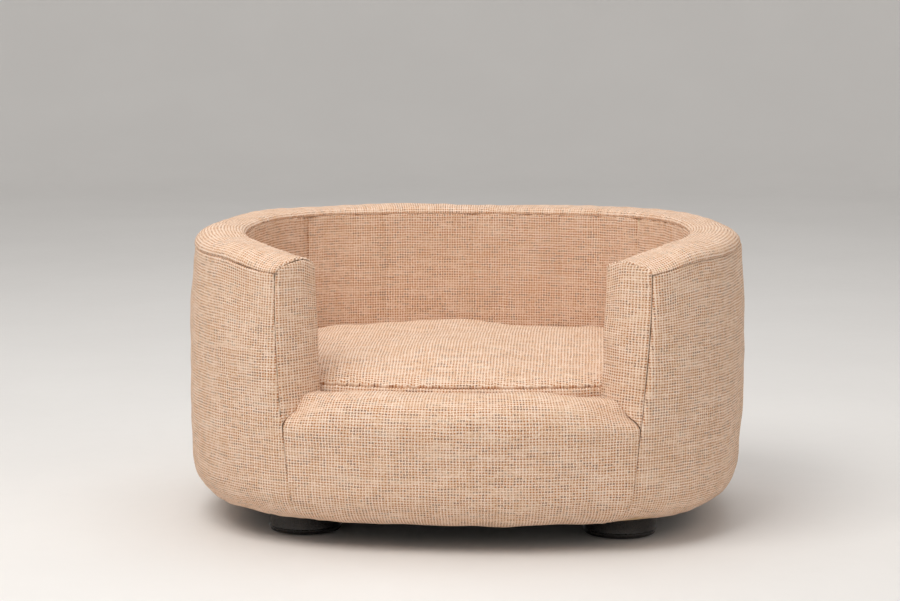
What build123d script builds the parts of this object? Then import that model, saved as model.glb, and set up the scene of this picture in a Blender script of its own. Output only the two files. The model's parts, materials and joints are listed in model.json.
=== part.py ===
from build123d import *
import os
from math import atan2, cos, degrees, hypot, radians, sin, sqrt, tan

# A small oval dog sofa: an upholstered wooden tub on four feet, open at the front above a
# padded sill, with a loose cushion in the nest. Millimetres, +Z up, front towards -Y,
# origin on the floor under the middle of the tub.

# ---- overall sizes -------------------------------------------------------------------
width = 600.0
depth = 500.0
rim_height = 312.0          # floor to the top of the padded rim
sill_height = 163.0         # floor to the crest of the front bolster
seat_height = 105.0         # floor to the deck that the cushion lies on
foot_height = 25.0          # floor to the dust cover

# ---- plan of the tub: an oval of tangent arcs ----------------------------------------
side_arc = 386.0            # radius of the two side arcs
end_arc = 627.0             # radius of the front and back arcs
corner_arc = 176.0          # radius of the four corner arcs

# ---- layers of the padded wall, from the outside in ----------------------------------
fabric = 1.5                # one cover thickness
lay = 0.3                   # gap between two curved layers that lie on each other
outer_padding = 21.0        # foam outside the frame
inner_padding = 11.2        # foam inside the nest
skin = 3.0                  # hardboard wrapped round the posts
post_depth = 16.0           # posts and rails, measured through the wall
sill_padding = 22.0         # foam over the front rail
rim_padding = 22.0          # foam over the top rail

# ---- roundings of the finished surface -----------------------------------------------
bottom_radius = 42.0
rim_radius = 22.0
lip_radius = 8.0            # inner edge of the rim
sill_front_radius = 38.0
sill_back_radius = 14.0

# ---- front opening -------------------------------------------------------------------
opening_half = 149.0        # middle plane to an arm front's inner corner, at the sill's crest
arm_splay = 35.0            # degrees between an arm's front face and the depth axis
arm_lean = 7.5              # degrees that an arm's front face leans back from upright
arm_padding = 18.0          # foam and cover in front of the arm posts

# ---- seams ---------------------------------------------------------------------------
outer_seam_drop = 16.0      # rim top down to the outer rim seam
turn_under = 54.0           # how far in from the outline the cover is turned under

# ---- wooden frame --------------------------------------------------------------------
base_thickness = 12.0
rail_thickness = 15.0
post_width = 32.0
post_standoff = 1.0         # arm padding to the front posts
seat_thickness = 12.0
bearer_width = 18.0
bearer_spacing = 170.0
deck_padding = 17.5
post_angles = {"side_right": 0.0, "rear_right": 48.0, "rear_middle": 90.0,
               "rear_left": 132.0, "side_left": 180.0}

# ---- underside -----------------------------------------------------------------------
dust_sheet = 1.0
dust_inset = 46.0
staple_count = 28
staple_inset = 50.0
staple_crown = 10.0
staple_wire = 0.8
staple_leg = 5.0

# ---- feet ----------------------------------------------------------------------------
foot_angle = 49.0           # direction of the outline's normal at a foot, from the width axis
foot_inset = 97.6
foot_top_diameter = 80.0
foot_floor_diameter = 75.0
foot_bead = 1.2
foot_bead_height = 5.0
foot_edge = 2.0             # chamfer under the dust cover
foot_rim = 1.0              # width and height of the lip round the pad
pad_thickness = 3.0
pad_diameter = 62.0

# ---- screws --------------------------------------------------------------------------
screw_diameter = 4.0
screw_head = 8.0
screw_head_height = 3.0
screw_recess = 2.5
screw_bite = 20.0
foot_screw_diameter = 6.0
foot_screw_head = 12.0
foot_screw_head_height = 4.0
screw_cover = 2.0           # wood left above a foot screw
bore_clearance = 0.1

# ---- cushion -------------------------------------------------------------------------
cushion_clearance = 3.0     # all round, to the inner cover
cushion_lift_gap = 0.3      # to the deck
cushion_thickness = 82.0    # at the crown
cushion_crown_radius = 1000.0
cushion_top_round = 12.0
cushion_bottom_round = 10.0

# ---- zip under the cushion -----------------------------------------------------------
zip_length = 240.0
zip_y = 110.0
zip_pocket_width = 26.0
zip_pocket_depth = 14.0
tape_width = 24.0
tape_thickness = 1.0
chain_width = 5.0
chain_height = 2.0
slider_length = 9.0
slider_wall = 1.0
slider_clearance = 0.3
lug_thickness = 1.0
lug_length = 3.0
pin_diameter = 1.2
pin_clearance = 0.2
pull_length = 16.0
pull_width = 5.0
pull_thickness = 1.2
pull_eye = 3.0
end_stop = 6.0

# ---- places worked out from the sizes ------------------------------------------------
underside = foot_height + dust_sheet
padding_at = fabric + lay
skin_at = padding_at + outer_padding + lay
post_at = skin_at + skin + lay
inner_skin_at = post_at + post_depth + lay
inner_padding_at = inner_skin_at + skin + lay
inner_cover_at = inner_padding_at + inner_padding + lay
wall = inner_cover_at + fabric

base_bottom = underside + padding_at
base_top = base_bottom + base_thickness
skin_bottom = base_top - base_thickness / 2
rail_top = rim_height - padding_at - rim_padding
sill_rail_top = sill_height - padding_at - sill_padding
seat_top = seat_height - fabric - deck_padding
seat_bottom = seat_top - seat_thickness
outer_seam = rim_height - outer_seam_drop
inner_seam = rim_height - lip_radius
clear_above = rim_height + 50.0
outside = -5.0              # inset of an oval drawn just outside the tub

# Tangent arcs in one quarter: the corner arc's centre lies where circles about the side
# and end centres, smaller by the corner radius, cross.
side_x = width / 2 - side_arc
end_y = depth / 2 - end_arc
reach_side = side_arc - corner_arc
reach_end = end_arc - corner_arc
span = hypot(side_x, end_y)
along = (reach_side**2 - reach_end**2 + span**2) / (2 * span)
across = sqrt(reach_side**2 - along**2)
unit_x = -side_x / span
unit_y = end_y / span
corner_x = side_x + along * unit_x - across * unit_y
corner_y = along * unit_y + across * unit_x
side_angle = degrees(atan2(corner_y, corner_x - side_x))
end_angle = degrees(atan2(corner_x, corner_y - end_y))
corner_sweep = 90.0 - side_angle - end_angle


# ---- plan helpers --------------------------------------------------------------------
def oval(inset):
    """The tub's plan as a face, drawn the given distance inside its outline."""
    side = side_arc - inset
    end = end_arc - inset
    corner = corner_arc - inset
    edges = [
        CenterArc((side_x, 0), side, -side_angle, 2 * side_angle),
        CenterArc((corner_x, corner_y), corner, side_angle, corner_sweep),
        CenterArc((0, end_y), end, 90 - end_angle, 2 * end_angle),
        CenterArc((-corner_x, corner_y), corner, 90 + end_angle, corner_sweep),
        CenterArc((-side_x, 0), side, 180 - side_angle, 2 * side_angle),
        CenterArc((-corner_x, -corner_y), corner, 180 + side_angle, corner_sweep),
        CenterArc((0, -end_y), end, 270 - end_angle, 2 * end_angle),
        CenterArc((corner_x, -corner_y), corner, 270 + end_angle, corner_sweep),
    ]
    return Face(Wire(edges))


def plan_point(angle, inset):
    """The point of the oval whose outward normal has the given direction in degrees."""
    normal_x = cos(radians(angle))
    normal_y = sin(radians(angle))
    quarter = degrees(atan2(abs(normal_y), abs(normal_x)))
    if quarter <= side_angle:
        centre, radius = (side_x, 0), side_arc
    elif quarter >= 90 - end_angle:
        centre, radius = (0, end_y), end_arc
    else:
        centre, radius = (corner_x, corner_y), corner_arc
    x = centre[0] + (radius - inset) * abs(normal_x)
    y = centre[1] + (radius - inset) * abs(normal_y)
    return (x if normal_x >= 0 else -x, y if normal_y >= 0 else -y)


def front_y(x, inset):
    """Y of the front of the oval at the given X."""
    if x <= (end_arc - inset) * sin(radians(end_angle)):
        return -(end_y + sqrt((end_arc - inset) ** 2 - x**2))
    return -(corner_y + sqrt((corner_arc - inset) ** 2 - (x - corner_x) ** 2))


def slab(inset, bottom, top):
    """The oval as a plate between two heights."""
    return extrude(Pos(0, 0, bottom) * oval(inset), top - bottom)


def ring(outer_inset, inner_inset, bottom, top):
    """An upright oval ring between two insets and two heights."""
    return slab(outer_inset, bottom, top) - slab(inner_inset, bottom, top)


def arm_corner(into_arm, height):
    """Inner corner of the right arm's front at a height, moved a distance into the arm."""
    shift = into_arm + (height - sill_height) * tan(radians(arm_lean))
    start_x = opening_half + shift * cos(radians(arm_splay))
    start_y = front_y(opening_half, wall) + shift * sin(radians(arm_splay))
    return start_x, start_y


def arm_line_point(into_arm, height, inset):
    """Where an arm's front plane, moved into the arm, crosses the oval on the right side."""
    start_x, start_y = arm_corner(into_arm, height)
    from_x = start_x - corner_x
    from_y = start_y + corner_y
    heading_x = sin(radians(arm_splay))
    heading_y = -cos(radians(arm_splay))
    half = from_x * heading_x + from_y * heading_y
    rest = from_x**2 + from_y**2 - (corner_arc - inset) ** 2
    run = -half + sqrt(half**2 - rest)
    return (start_x + run * heading_x, start_y + run * heading_y)


def between_arms(into_arm, bottom=-10.0):
    """The wedge of space between the arm fronts, widened by a distance into the arms."""
    start_x, start_y = arm_corner(into_arm, bottom)
    apex_y = start_y + start_x / tan(radians(arm_splay))
    far_y = -depth / 2 - wall
    far_x = start_x + (start_y - far_y) * tan(radians(arm_splay))
    outline = Polyline((0, apex_y), (far_x, far_y), (-far_x, far_y), close=True)
    face = Pos(0, 0, bottom) * make_face(outline)
    return extrude(face, clear_above - bottom, taper=-arm_lean)


def filled_form(layer):
    """The tub as one solid lump, drawn a distance inside its finished surface."""
    lump = slab(layer, underside + layer, rim_height - layer)
    floor = lump.faces().sort_by(Axis.Z)[0]
    return fillet(floor.edges(), bottom_radius - layer)


def wall_form(layer, top, top_radius, lip):
    """The whole ring of wall, drawn a distance inside its finished surface."""
    form = slab(layer, underside + layer, top - layer)
    form = fillet(form.faces().sort_by(Axis.Z)[0].edges(), bottom_radius - layer)
    form = fillet(form.faces().sort_by(Axis.Z)[-1].edges(), top_radius - layer)
    form = form - slab(wall - layer, 0, clear_above)
    crest = form.faces().sort_by(Axis.Z)[-1]
    return fillet(crest.inner_wires()[0].edges(), lip - layer)


def full_wall(layer):
    return wall_form(layer, rim_height, rim_radius, lip_radius)


def sill_wall(layer):
    return wall_form(layer, sill_height, sill_front_radius, sill_back_radius)


def drill(diameter, x, y, bottom, top):
    """An upright cylinder between two heights."""
    height = top - bottom
    return Pos(x, y, bottom + height / 2) * Cylinder(diameter / 2, height)


def joined(pieces):
    """Several apart solids as one group."""
    return Compound(children=list(pieces))


def left_and_right(shape):
    """The two solids of a mirrored pair, left one first."""
    pair = shape.solids().sort_by(Axis.X)
    return pair[0], pair[-1]


parts = {}

# ---- wooden frame --------------------------------------------------------------------
open_front = between_arms(arm_padding, sill_rail_top)
arm_ends = between_arms(arm_padding)

parts["base_board"] = slab(post_at, base_bottom, base_top) & filled_form(padding_at)
parts["outer_skin"] = ring(skin_at, skin_at + skin, skin_bottom, rail_top) - open_front
parts["inner_skin"] = ring(inner_skin_at, inner_skin_at + skin, base_top, rail_top) - open_front

rail_ring = ring(post_at, post_at + post_depth, rail_top - rail_thickness, rail_top)
parts["top_rail"] = rail_ring - arm_ends
post_ring = ring(post_at, post_at + post_depth, base_top, rail_top - rail_thickness)
post_middle = post_at + post_depth / 2
post_places = {}
for name, angle in post_angles.items():
    post_places[name] = (*plan_point(angle, post_middle), angle)
post_line = arm_padding + post_width / 2 + post_standoff
front_x, front_line_y = arm_line_point(post_line, rail_top, post_middle)
front_angle = degrees(atan2(front_line_y + corner_y, front_x - corner_x))
post_places["front_right"] = (front_x, front_line_y, front_angle)
post_places["front_left"] = (-front_x, front_line_y, 180.0 - front_angle)
for name, (x, y, angle) in post_places.items():
    block = Pos(x, y, rim_height / 2) * Rot(0, 0, angle) * Box(4 * post_depth, post_width, rim_height)
    parts["post_" + name] = (post_ring & block) - arm_ends

sill_ring = ring(post_at, post_at + post_depth, sill_rail_top - rail_thickness, sill_rail_top)
to_the_posts = arm_padding + (rail_top - sill_rail_top + rail_thickness) * tan(radians(arm_lean))
front_rail = sill_ring & between_arms(to_the_posts + post_width / 2)
for name in ("post_front_left", "post_front_right"):
    front_rail = front_rail - parts[name]
parts["front_rail"] = front_rail.solids().sort_by(SortBy.VOLUME)[-1]

bearer_outline = slab(inner_padding_at, base_top, seat_bottom)
for name, y in (("bearer_front", -bearer_spacing / 2), ("bearer_rear", bearer_spacing / 2)):
    bar = Pos(0, y, (base_top + seat_bottom) / 2) * Box(width, bearer_width, seat_bottom - base_top)
    parts[name] = bar & bearer_outline
parts["seat_board"] = slab(inner_padding_at, seat_bottom, seat_top)

# ---- screws of the frame -------------------------------------------------------------
frame_screws = []


def screw_in(names, x, y, head_from, head_to, tip):
    """Drives one screw through the named pieces and cuts its hole in each of them."""
    shank = drill(screw_diameter, x, y, min(head_to, tip), max(head_to, tip))
    head = drill(screw_head, x, y, min(head_from, head_to), max(head_from, head_to))
    frame_screws.append(shank + head)
    loose = screw_diameter + 2 * bore_clearance
    hole = drill(loose, x, y, min(head_to, tip), max(head_to, tip))
    mouth = 2 * head_from - head_to
    loose_head = screw_head + 2 * bore_clearance
    sink = drill(loose_head, x, y, min(mouth, head_to), max(mouth, head_to))
    for piece in names:
        parts[piece] = parts[piece] - hole - sink


low_head = base_bottom + screw_recess
low_neck = low_head + screw_head_height
high_neck = rail_top - screw_head_height
for name, (x, y, angle) in post_places.items():
    screw_in(("base_board", "post_" + name), x, y, low_head, low_neck, base_top + screw_bite)
    screw_tip = rail_top - rail_thickness - screw_bite
    screw_in(("top_rail", "post_" + name), x, y, rail_top, high_neck, screw_tip)
bearer_bite = (seat_bottom - base_top) / 3  # two screws from opposite sides share its height
for name, y in (("bearer_front", -bearer_spacing / 2), ("bearer_rear", bearer_spacing / 2)):
    for side in (-1, 1):
        lower_x = side * width / 6
        upper_x = side * width / 4
        screw_in(("base_board", name), lower_x, y, low_head, low_neck, base_top + bearer_bite)
        neck = seat_top - screw_head_height
        screw_in(("seat_board", name), upper_x, y, seat_top, neck, seat_bottom - bearer_bite)
parts["frame_screws"] = joined(frame_screws)

# ---- foam ----------------------------------------------------------------------------
foam_form = full_wall(padding_at)
sill_foam_form = sill_wall(padding_at)
cover_edge = between_arms(fabric)
wood_below_sill = ring(skin_at - lay, inner_padding_at, 0, sill_rail_top)
seat_space = slab(inner_skin_at, 0, seat_top)

outer_band = ring(outside, skin_at - lay, 0, rail_top)
parts["outer_foam"] = (foam_form & outer_band) - arm_ends
inner_band = ring(inner_padding_at, inner_cover_at - lay, seat_top, rail_top)
parts["inner_foam"] = inner_band - arm_ends
parts["rim_foam"] = (foam_form & slab(outside, rail_top, clear_above)) - arm_ends
parts["sill_foam"] = (sill_foam_form & cover_edge) - wood_below_sill - seat_space
arm_foam = (foam_form & (arm_ends - cover_edge)) - wood_below_sill - seat_space
parts["arm_foam_left"], parts["arm_foam_right"] = left_and_right(arm_foam)
parts["deck_foam"] = slab(inner_cover_at, seat_top, seat_height - fabric)

# ---- fabric covers -------------------------------------------------------------------
finished = full_wall(0)
cover_shell = finished - full_wall(fabric)
below_deck = slab(turn_under, 0, seat_height)
outer_zone = ring(outside, turn_under, 0, outer_seam)
parts["outer_cover"] = (cover_shell & outer_zone) - cover_edge
under_inner_seam = slab(turn_under, 0, inner_seam)
rim_zone = slab(outside, outer_seam, clear_above) - under_inner_seam
parts["rim_cover"] = (cover_shell & rim_zone) - cover_edge
parts["inner_cover"] = ring(inner_cover_at, wall, seat_height, inner_seam) - cover_edge
arm_face = (finished & (cover_edge - between_arms(0))) - sill_wall(-lay)
arm_face = arm_face - below_deck
parts["arm_front_cover_left"], parts["arm_front_cover_right"] = left_and_right(arm_face)
sill_shell = sill_wall(0) - sill_wall(fabric)
parts["sill_cover"] = (sill_shell & cover_edge) - below_deck
parts["deck_cover"] = slab(inner_cover_at, seat_height - fabric, seat_height)

# ---- dust cover and its staples ------------------------------------------------------
parts["dust_cover"] = slab(dust_inset, foot_height, underside)
staples = []
slots = []
for index in range(staple_count):
    angle = 360.0 * (index + 0.5) / staple_count
    x, y = plan_point(angle, staple_inset)
    place = Pos(x, y, foot_height) * Rot(0, 0, angle)
    crown = Pos(0, 0, -staple_wire / 2) * Box(staple_wire, staple_crown, staple_wire)
    wire = crown
    slot_group = []
    for end in (-1, 1):
        leg_y = end * (staple_crown - staple_wire) / 2
        leg = Pos(0, leg_y, staple_leg / 2) * Box(staple_wire, staple_wire, staple_leg)
        wire = wire + leg
        slot_group.append(place * leg)
    staples.append(place * wire)
    slots.extend(slot_group)
parts["dust_cover_staples"] = joined(staples)

# ---- feet ----------------------------------------------------------------------------
foot_x, foot_y = plan_point(foot_angle, foot_inset)
foot_screw_top = base_top - screw_cover
foot_screw_head_top = pad_thickness + foot_screw_head_height
foot_bores = []
foot_screws = []
feet = {"front_left": (-foot_x, -foot_y), "front_right": (foot_x, -foot_y),
        "rear_left": (-foot_x, foot_y), "rear_right": (foot_x, foot_y)}
top_radius = foot_top_diameter / 2
floor_radius = foot_floor_diameter / 2
pad_radius = pad_diameter / 2
bead_top = foot_bead_height + 2 * foot_bead
for name, (x, y) in feet.items():
    with BuildPart() as foot:
        with BuildSketch(Plane.XZ):
            with BuildLine():
                Polyline(
                    (0, pad_thickness),
                    (0, foot_height),
                    (top_radius - foot_edge, foot_height),
                    (top_radius, foot_height - foot_edge),
                    (floor_radius, bead_top),
                    (floor_radius + foot_bead, bead_top - foot_bead),
                    (floor_radius, foot_bead_height),
                    (floor_radius - foot_rim, foot_rim),
                    (pad_radius + foot_rim, foot_rim),
                    (pad_radius + foot_rim, pad_thickness),
                    close=True,
                )
            make_face()
        revolve(axis=Axis.Z)
    bore = drill(foot_screw_diameter + 2 * bore_clearance, x, y, 0, foot_screw_top)
    head_room = foot_screw_head + 2 * bore_clearance
    foot_bores.append(bore)
    well = drill(head_room, x, y, 0, foot_screw_head_top)
    parts["foot_" + name] = Pos(x, y, 0) * foot.part - bore - well
    parts["foot_pad_" + name] = drill(pad_diameter, x, y, 0, pad_thickness)
    shank = drill(foot_screw_diameter, x, y, foot_screw_head_top, foot_screw_top)
    head = drill(foot_screw_head, x, y, pad_thickness, foot_screw_head_top)
    foot_screws.append(shank + head)
parts["foot_screws"] = joined(foot_screws)
parts["dust_cover"] = parts["dust_cover"] - foot_bores - slots
parts["base_board"] = parts["base_board"] - foot_bores - slots
for name in ("outer_cover", "sill_cover"):
    parts[name] = parts[name] - slots

# ---- cushion -------------------------------------------------------------------------
cushion_bottom = seat_height + cushion_lift_gap
cushion_top = cushion_bottom + cushion_thickness
pocket_roof = cushion_bottom + zip_pocket_depth


def cushion_form(layer):
    """The crowned oval cushion, drawn a distance inside its finished surface."""
    inset = wall + cushion_clearance + layer
    form = slab(inset, cushion_bottom + layer, cushion_top)
    crown = Pos(0, 0, cushion_top - cushion_crown_radius) * Sphere(cushion_crown_radius - layer)
    form = fillet(form.faces().sort_by(Axis.Z)[0].edges(), cushion_bottom_round - layer)
    form = form & crown
    top = form.faces().sort_by(Axis.Z)[-1]
    return fillet(top.edges(), cushion_top_round - layer)


def zip_pocket(margin):
    """The recess in the cushion's underside that holds the zip."""
    deep = zip_pocket_depth + 2 * margin
    length = zip_length + 2 * end_stop + 2 * margin
    pocket_width = zip_pocket_width + 2 * margin
    return Pos(0, zip_y, cushion_bottom - margin + deep / 2) * Box(length, pocket_width, deep)


filling_gap = fabric + lay
parts["cushion_core"] = cushion_form(filling_gap) - zip_pocket(filling_gap)
cushion_shell = cushion_form(0) - (cushion_form(fabric) - zip_pocket(fabric))
parts["cushion_cover"] = cushion_shell - zip_pocket(0)

# ---- zip -----------------------------------------------------------------------------
tape_bottom = pocket_roof - tape_thickness
chain_bottom = tape_bottom - chain_height
tape = Pos(0, zip_y, pocket_roof - tape_thickness / 2)
chain_place = Pos(0, zip_y, tape_bottom - chain_height / 2)
parts["zip_tape"] = tape * Box(zip_length + end_stop, tape_width, tape_thickness)
parts["zip_chain"] = chain_place * Box(zip_length, chain_width, chain_height)

slider_inner = chain_width + 2 * slider_clearance
slider_outer = slider_inner + 2 * slider_wall
slider_top = tape_bottom - slider_clearance
slider_roof = chain_bottom - slider_clearance
slider_floor = slider_roof - slider_wall
slider_x = -zip_length / 2 + slider_length / 2 + end_stop
pin_x = slider_x
pin_z = slider_floor - slider_clearance - pull_eye / 2
lug_gap = slider_outer - 2 * lug_thickness
body_height = slider_top - slider_floor
slider = Pos(slider_x, zip_y, slider_floor + body_height / 2)
slider = slider * Box(slider_length, slider_outer, body_height)
chain_room = slider_top - slider_roof + slider_wall
channel = Pos(slider_x, zip_y, slider_roof + chain_room / 2)
slider = slider - channel * Box(2 * slider_length, slider_inner, chain_room)
lug_bottom = pin_z - pin_diameter
lug_height = slider_floor - lug_bottom
for end in (-1, 1):
    lug_y = zip_y + end * (slider_outer - lug_thickness) / 2
    lug = Pos(pin_x, lug_y, lug_bottom + lug_height / 2)
    slider = slider + lug * Box(lug_length, lug_thickness, lug_height)
along_y = Rot(90, 0, 0)
pin = Pos(pin_x, zip_y, pin_z) * along_y * Cylinder(pin_diameter / 2, slider_outer)
parts["zip_slider"] = slider + pin

eye_width = lug_gap - 2 * slider_clearance
eye = Pos(pin_x, zip_y, pin_z) * along_y * Cylinder(pull_eye / 2, eye_width)
tab_centre = Pos(pin_x + pull_length / 2, zip_y, pin_z)
tab = tab_centre * Box(pull_length, pull_width, pull_thickness)
bore = Pos(pin_x, zip_y, pin_z) * along_y * Cylinder(pin_diameter / 2 + pin_clearance, 2 * slider_outer)
parts["zip_pull"] = eye + tab - bore

# ---- files ---------------------------------------------------------------------------
os.makedirs("parts", exist_ok=True)
for name, shape in parts.items():
    export_step(shape, "parts/" + name + ".step")
    print(name, len(shape.solids()), round(shape.volume))
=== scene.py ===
# %% [markdown]
# # A small oval dog sofa, dressed in Blender
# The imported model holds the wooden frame, the foam, the feet and the loose cushion at their real
# size. This lesson gives it its looks: a coarse woven cover sewn from panels, a puffed cushion,
# moulded feet and the black cloth underneath. Every piece is placed from the frame's own boxes.

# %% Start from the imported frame
import bpy
import bmesh
import json
import numpy as np
from math import asin, atan2, ceil, cos, degrees, hypot, pi, radians, sin, sqrt, tan
from mathutils import Matrix, Vector
from mathutils.bvhtree import BVHTree


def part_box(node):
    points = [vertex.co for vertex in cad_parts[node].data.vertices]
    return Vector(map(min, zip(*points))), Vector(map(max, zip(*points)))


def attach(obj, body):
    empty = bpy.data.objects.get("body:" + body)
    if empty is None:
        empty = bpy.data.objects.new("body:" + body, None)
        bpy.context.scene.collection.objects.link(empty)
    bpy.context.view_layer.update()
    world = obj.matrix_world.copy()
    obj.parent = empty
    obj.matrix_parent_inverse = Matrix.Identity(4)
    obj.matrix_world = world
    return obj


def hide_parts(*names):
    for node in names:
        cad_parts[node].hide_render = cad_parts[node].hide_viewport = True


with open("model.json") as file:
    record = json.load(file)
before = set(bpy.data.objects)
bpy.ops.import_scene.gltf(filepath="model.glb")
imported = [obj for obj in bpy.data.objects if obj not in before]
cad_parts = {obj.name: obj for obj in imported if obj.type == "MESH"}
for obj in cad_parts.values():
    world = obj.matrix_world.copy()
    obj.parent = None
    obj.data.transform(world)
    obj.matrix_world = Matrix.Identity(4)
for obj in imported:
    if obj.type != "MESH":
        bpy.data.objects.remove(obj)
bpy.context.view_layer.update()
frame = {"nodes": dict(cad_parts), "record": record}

# %% [markdown]
# ## Camera, light and floor
# A long lens from the front, a little above the rim, keeps the oval's proportions. Big soft lamps
# and a pale sweep of floor give the even light of a bright room, with a soft contact shadow.

# %% Camera
LENS_MM = 105.7
CAMERA_DISTANCE = 2.893
CAMERA_YAW = radians(3.21)
CAMERA_PITCH = radians(8.12)
LOOK_AT = Vector((-0.0197, 0.0, 0.2292))


def direction(yaw, pitch):
    """Unit vector from a point looked at towards a viewer in front of it."""
    return Vector((sin(yaw) * cos(pitch), -cos(yaw) * cos(pitch), sin(pitch)))


def aim(thing, place, target):
    """Puts a camera or lamp at a place, pointing at a target, upright."""
    thing.location = place
    thing.rotation_euler = (target - place).to_track_quat("-Z", "Y").to_euler()
    bpy.context.collection.objects.link(thing)


camera = bpy.data.objects.new("camera", bpy.data.cameras.new("camera"))
camera.data.lens = LENS_MM
camera.data.sensor_width = 36.0
camera.data.clip_start = 0.05
aim(camera, LOOK_AT + CAMERA_DISTANCE * direction(CAMERA_YAW, CAMERA_PITCH), LOOK_AT)
bpy.context.scene.camera = camera
bpy.context.scene.view_settings.view_transform = "Standard"
print("camera at", [round(v, 3) for v in camera.location])

# %% Lamps and sky
MIDDLE = Vector((0.0, 0.0, 0.15))


def softbox(name, yaw, pitch, distance, size, watts, colour=(1.0, 1.0, 1.0)):
    """A square area lamp that looks at the middle of the sofa."""
    lamp = bpy.data.lights.new(name, "AREA")
    lamp.size = size
    lamp.energy = watts
    lamp.color = colour
    aim(bpy.data.objects.new(name, lamp), MIDDLE + distance * direction(yaw, pitch), MIDDLE)


softbox("key_light", radians(-36), radians(56), 2.6, 1.6, 40.0, (1.0, 0.97, 0.93))
softbox("fill_light", radians(48), radians(28), 3.0, 2.2, 7.0, (1.0, 0.95, 0.90))
softbox("top_light", radians(170), radians(75), 2.4, 2.0, 17.0)
sky = bpy.data.worlds.new("sky")
sky.use_nodes = True
sky.node_tree.nodes["Background"].inputs["Color"].default_value = (1.0, 0.985, 0.965, 1.0)
sky.node_tree.nodes["Background"].inputs["Strength"].default_value = 0.46
bpy.context.scene.world = sky

# %% Floor
FLOOR_RADIUS = 3.5
SWEEP_RADIUS = 1.2
SWEEP_TOP = 1.9
SPOKES = 96
turns = np.linspace(0.0, pi / 2, 17)
floor_line = [(0.4, 0.0), (1.6, 0.0)]
floor_line += [(FLOOR_RADIUS + SWEEP_RADIUS * sin(t), SWEEP_RADIUS - SWEEP_RADIUS * cos(t)) for t in turns]
floor_line += [(FLOOR_RADIUS + SWEEP_RADIUS, SWEEP_TOP)]
spokes = np.linspace(0.0, 2 * pi, SPOKES, endpoint=False)
corners = [(r * cos(a), r * sin(a), z) for r, z in floor_line for a in spokes]
strips = [list(range(SPOKES))]
for ring in range(len(floor_line) - 1):
    for spoke in range(SPOKES):
        following = (spoke + 1) % SPOKES
        inner, outer = ring * SPOKES, (ring + 1) * SPOKES
        strips.append((inner + spoke, outer + spoke, outer + following, inner + following))
floor_mesh = bpy.data.meshes.new("floor")
floor_mesh.from_pydata(corners, [], strips)
floor_mesh.shade_smooth()
floor = bpy.data.objects.new("floor", floor_mesh)
bpy.context.collection.objects.link(floor)
print("floor:", len(strips), "faces, swept up all round")

# %% [markdown]
# ## Sizes read from the frame
# The outline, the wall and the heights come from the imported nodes, so that the covers fit whatever
# the model measures. The oval is drawn with tangent arcs, the way a maker would lay out a plywood
# base: two long arcs, two side arcs and four corner arcs.

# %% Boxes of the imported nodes
shell_low, shell_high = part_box("outer_cover")
sill_low, sill_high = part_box("sill_cover")
nest_low, nest_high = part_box("inner_cover")
pad_low, pad_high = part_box("cushion_cover")
rim_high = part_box("rim_cover")[1]
deck_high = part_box("deck_cover")[1]
dust_low, dust_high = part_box("dust_cover")

FABRIC = 0.0015
HALF_WIDTH = (shell_high[0] - shell_low[0]) / 2
HALF_DEPTH = max(shell_high[1], -sill_low[1])
WALL = HALF_WIDTH - (nest_high[0] - nest_low[0]) / 2 + FABRIC
UNDERSIDE = shell_low[2]
OUTER_SEAM_Z = shell_high[2]
RIM_Z = rim_high[2]
INNER_SEAM_Z = nest_high[2]
SILL_Z = sill_high[2]
DECK_Z = deck_high[2]
print(f"tub {2000 * HALF_WIDTH:.0f} x {2000 * HALF_DEPTH:.0f} x {1000 * RIM_Z:.0f} mm, wall {1000 * WALL:.0f}")

# %% The oval of tangent arcs
SIDE_ARC = 0.386
END_ARC = 0.627
CORNER_ARC = 0.176
side_x = HALF_WIDTH - SIDE_ARC
end_y = HALF_DEPTH - END_ARC
span = hypot(side_x, end_y)
reach_side = SIDE_ARC - CORNER_ARC
reach_end = END_ARC - CORNER_ARC
along = (reach_side**2 - reach_end**2 + span**2) / (2 * span)
across = sqrt(reach_side**2 - along**2)
corner_x = side_x - along * side_x / span - across * end_y / span
corner_y = along * end_y / span - across * side_x / span
side_turn = atan2(corner_y, corner_x - side_x)
end_turn = atan2(corner_x, corner_y - end_y)


def plan(theta, inset):
    """Points of the oval, drawn inset from the outline, where its normal has direction theta."""
    theta, inset = np.broadcast_arrays(np.asarray(theta, float), np.asarray(inset, float))
    nx, ny = np.cos(theta), np.sin(theta)
    quarter = np.arctan2(np.abs(ny), np.abs(nx))
    on_side = quarter <= side_turn
    on_end = quarter >= pi / 2 - end_turn
    centre_x = np.where(on_side, side_x, np.where(on_end, 0.0, corner_x))
    centre_y = np.where(on_side, 0.0, np.where(on_end, end_y, corner_y))
    radius = np.where(on_side, SIDE_ARC, np.where(on_end, END_ARC, CORNER_ARC)) - inset
    x = np.sign(nx + 1e-12) * (centre_x + radius * np.abs(nx))
    y = np.sign(ny + 1e-12) * (centre_y + radius * np.abs(ny))
    return x, y


dense_theta = np.radians(np.linspace(-180.0, 360.0, 5401))
dense_x, dense_y = plan(dense_theta, 0.0)
dense_run = np.concatenate([[0.0], np.cumsum(np.hypot(np.diff(dense_x), np.diff(dense_y)))])
dense_run -= np.interp(radians(90.0), dense_theta, dense_run)


def run_of(theta):
    """Length along the outline from the middle of the back, for a direction of the normal."""
    return np.interp(theta, dense_theta, dense_run)


def theta_of(run):
    """Direction of the outline's normal at a length from the middle of the back."""
    return np.interp(run, dense_run, dense_theta)


print(f"outline {1000 * (run_of(radians(270)) - run_of(radians(-90))):.0f} mm round")

# %% Arm fronts: two leaning planes
OPENING_HALF = 0.149
ARM_SPLAY = radians(35.0)
ARM_LEAN = radians(4.5)
ARM_FULLNESS = 0.0030
INNER_AHEAD = (0.0045, 0.0075)
RIGHT_TWIST = (0.0085, 0.0060)
DROOP = 0.0100
DROOP_REACH = 0.080


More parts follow.
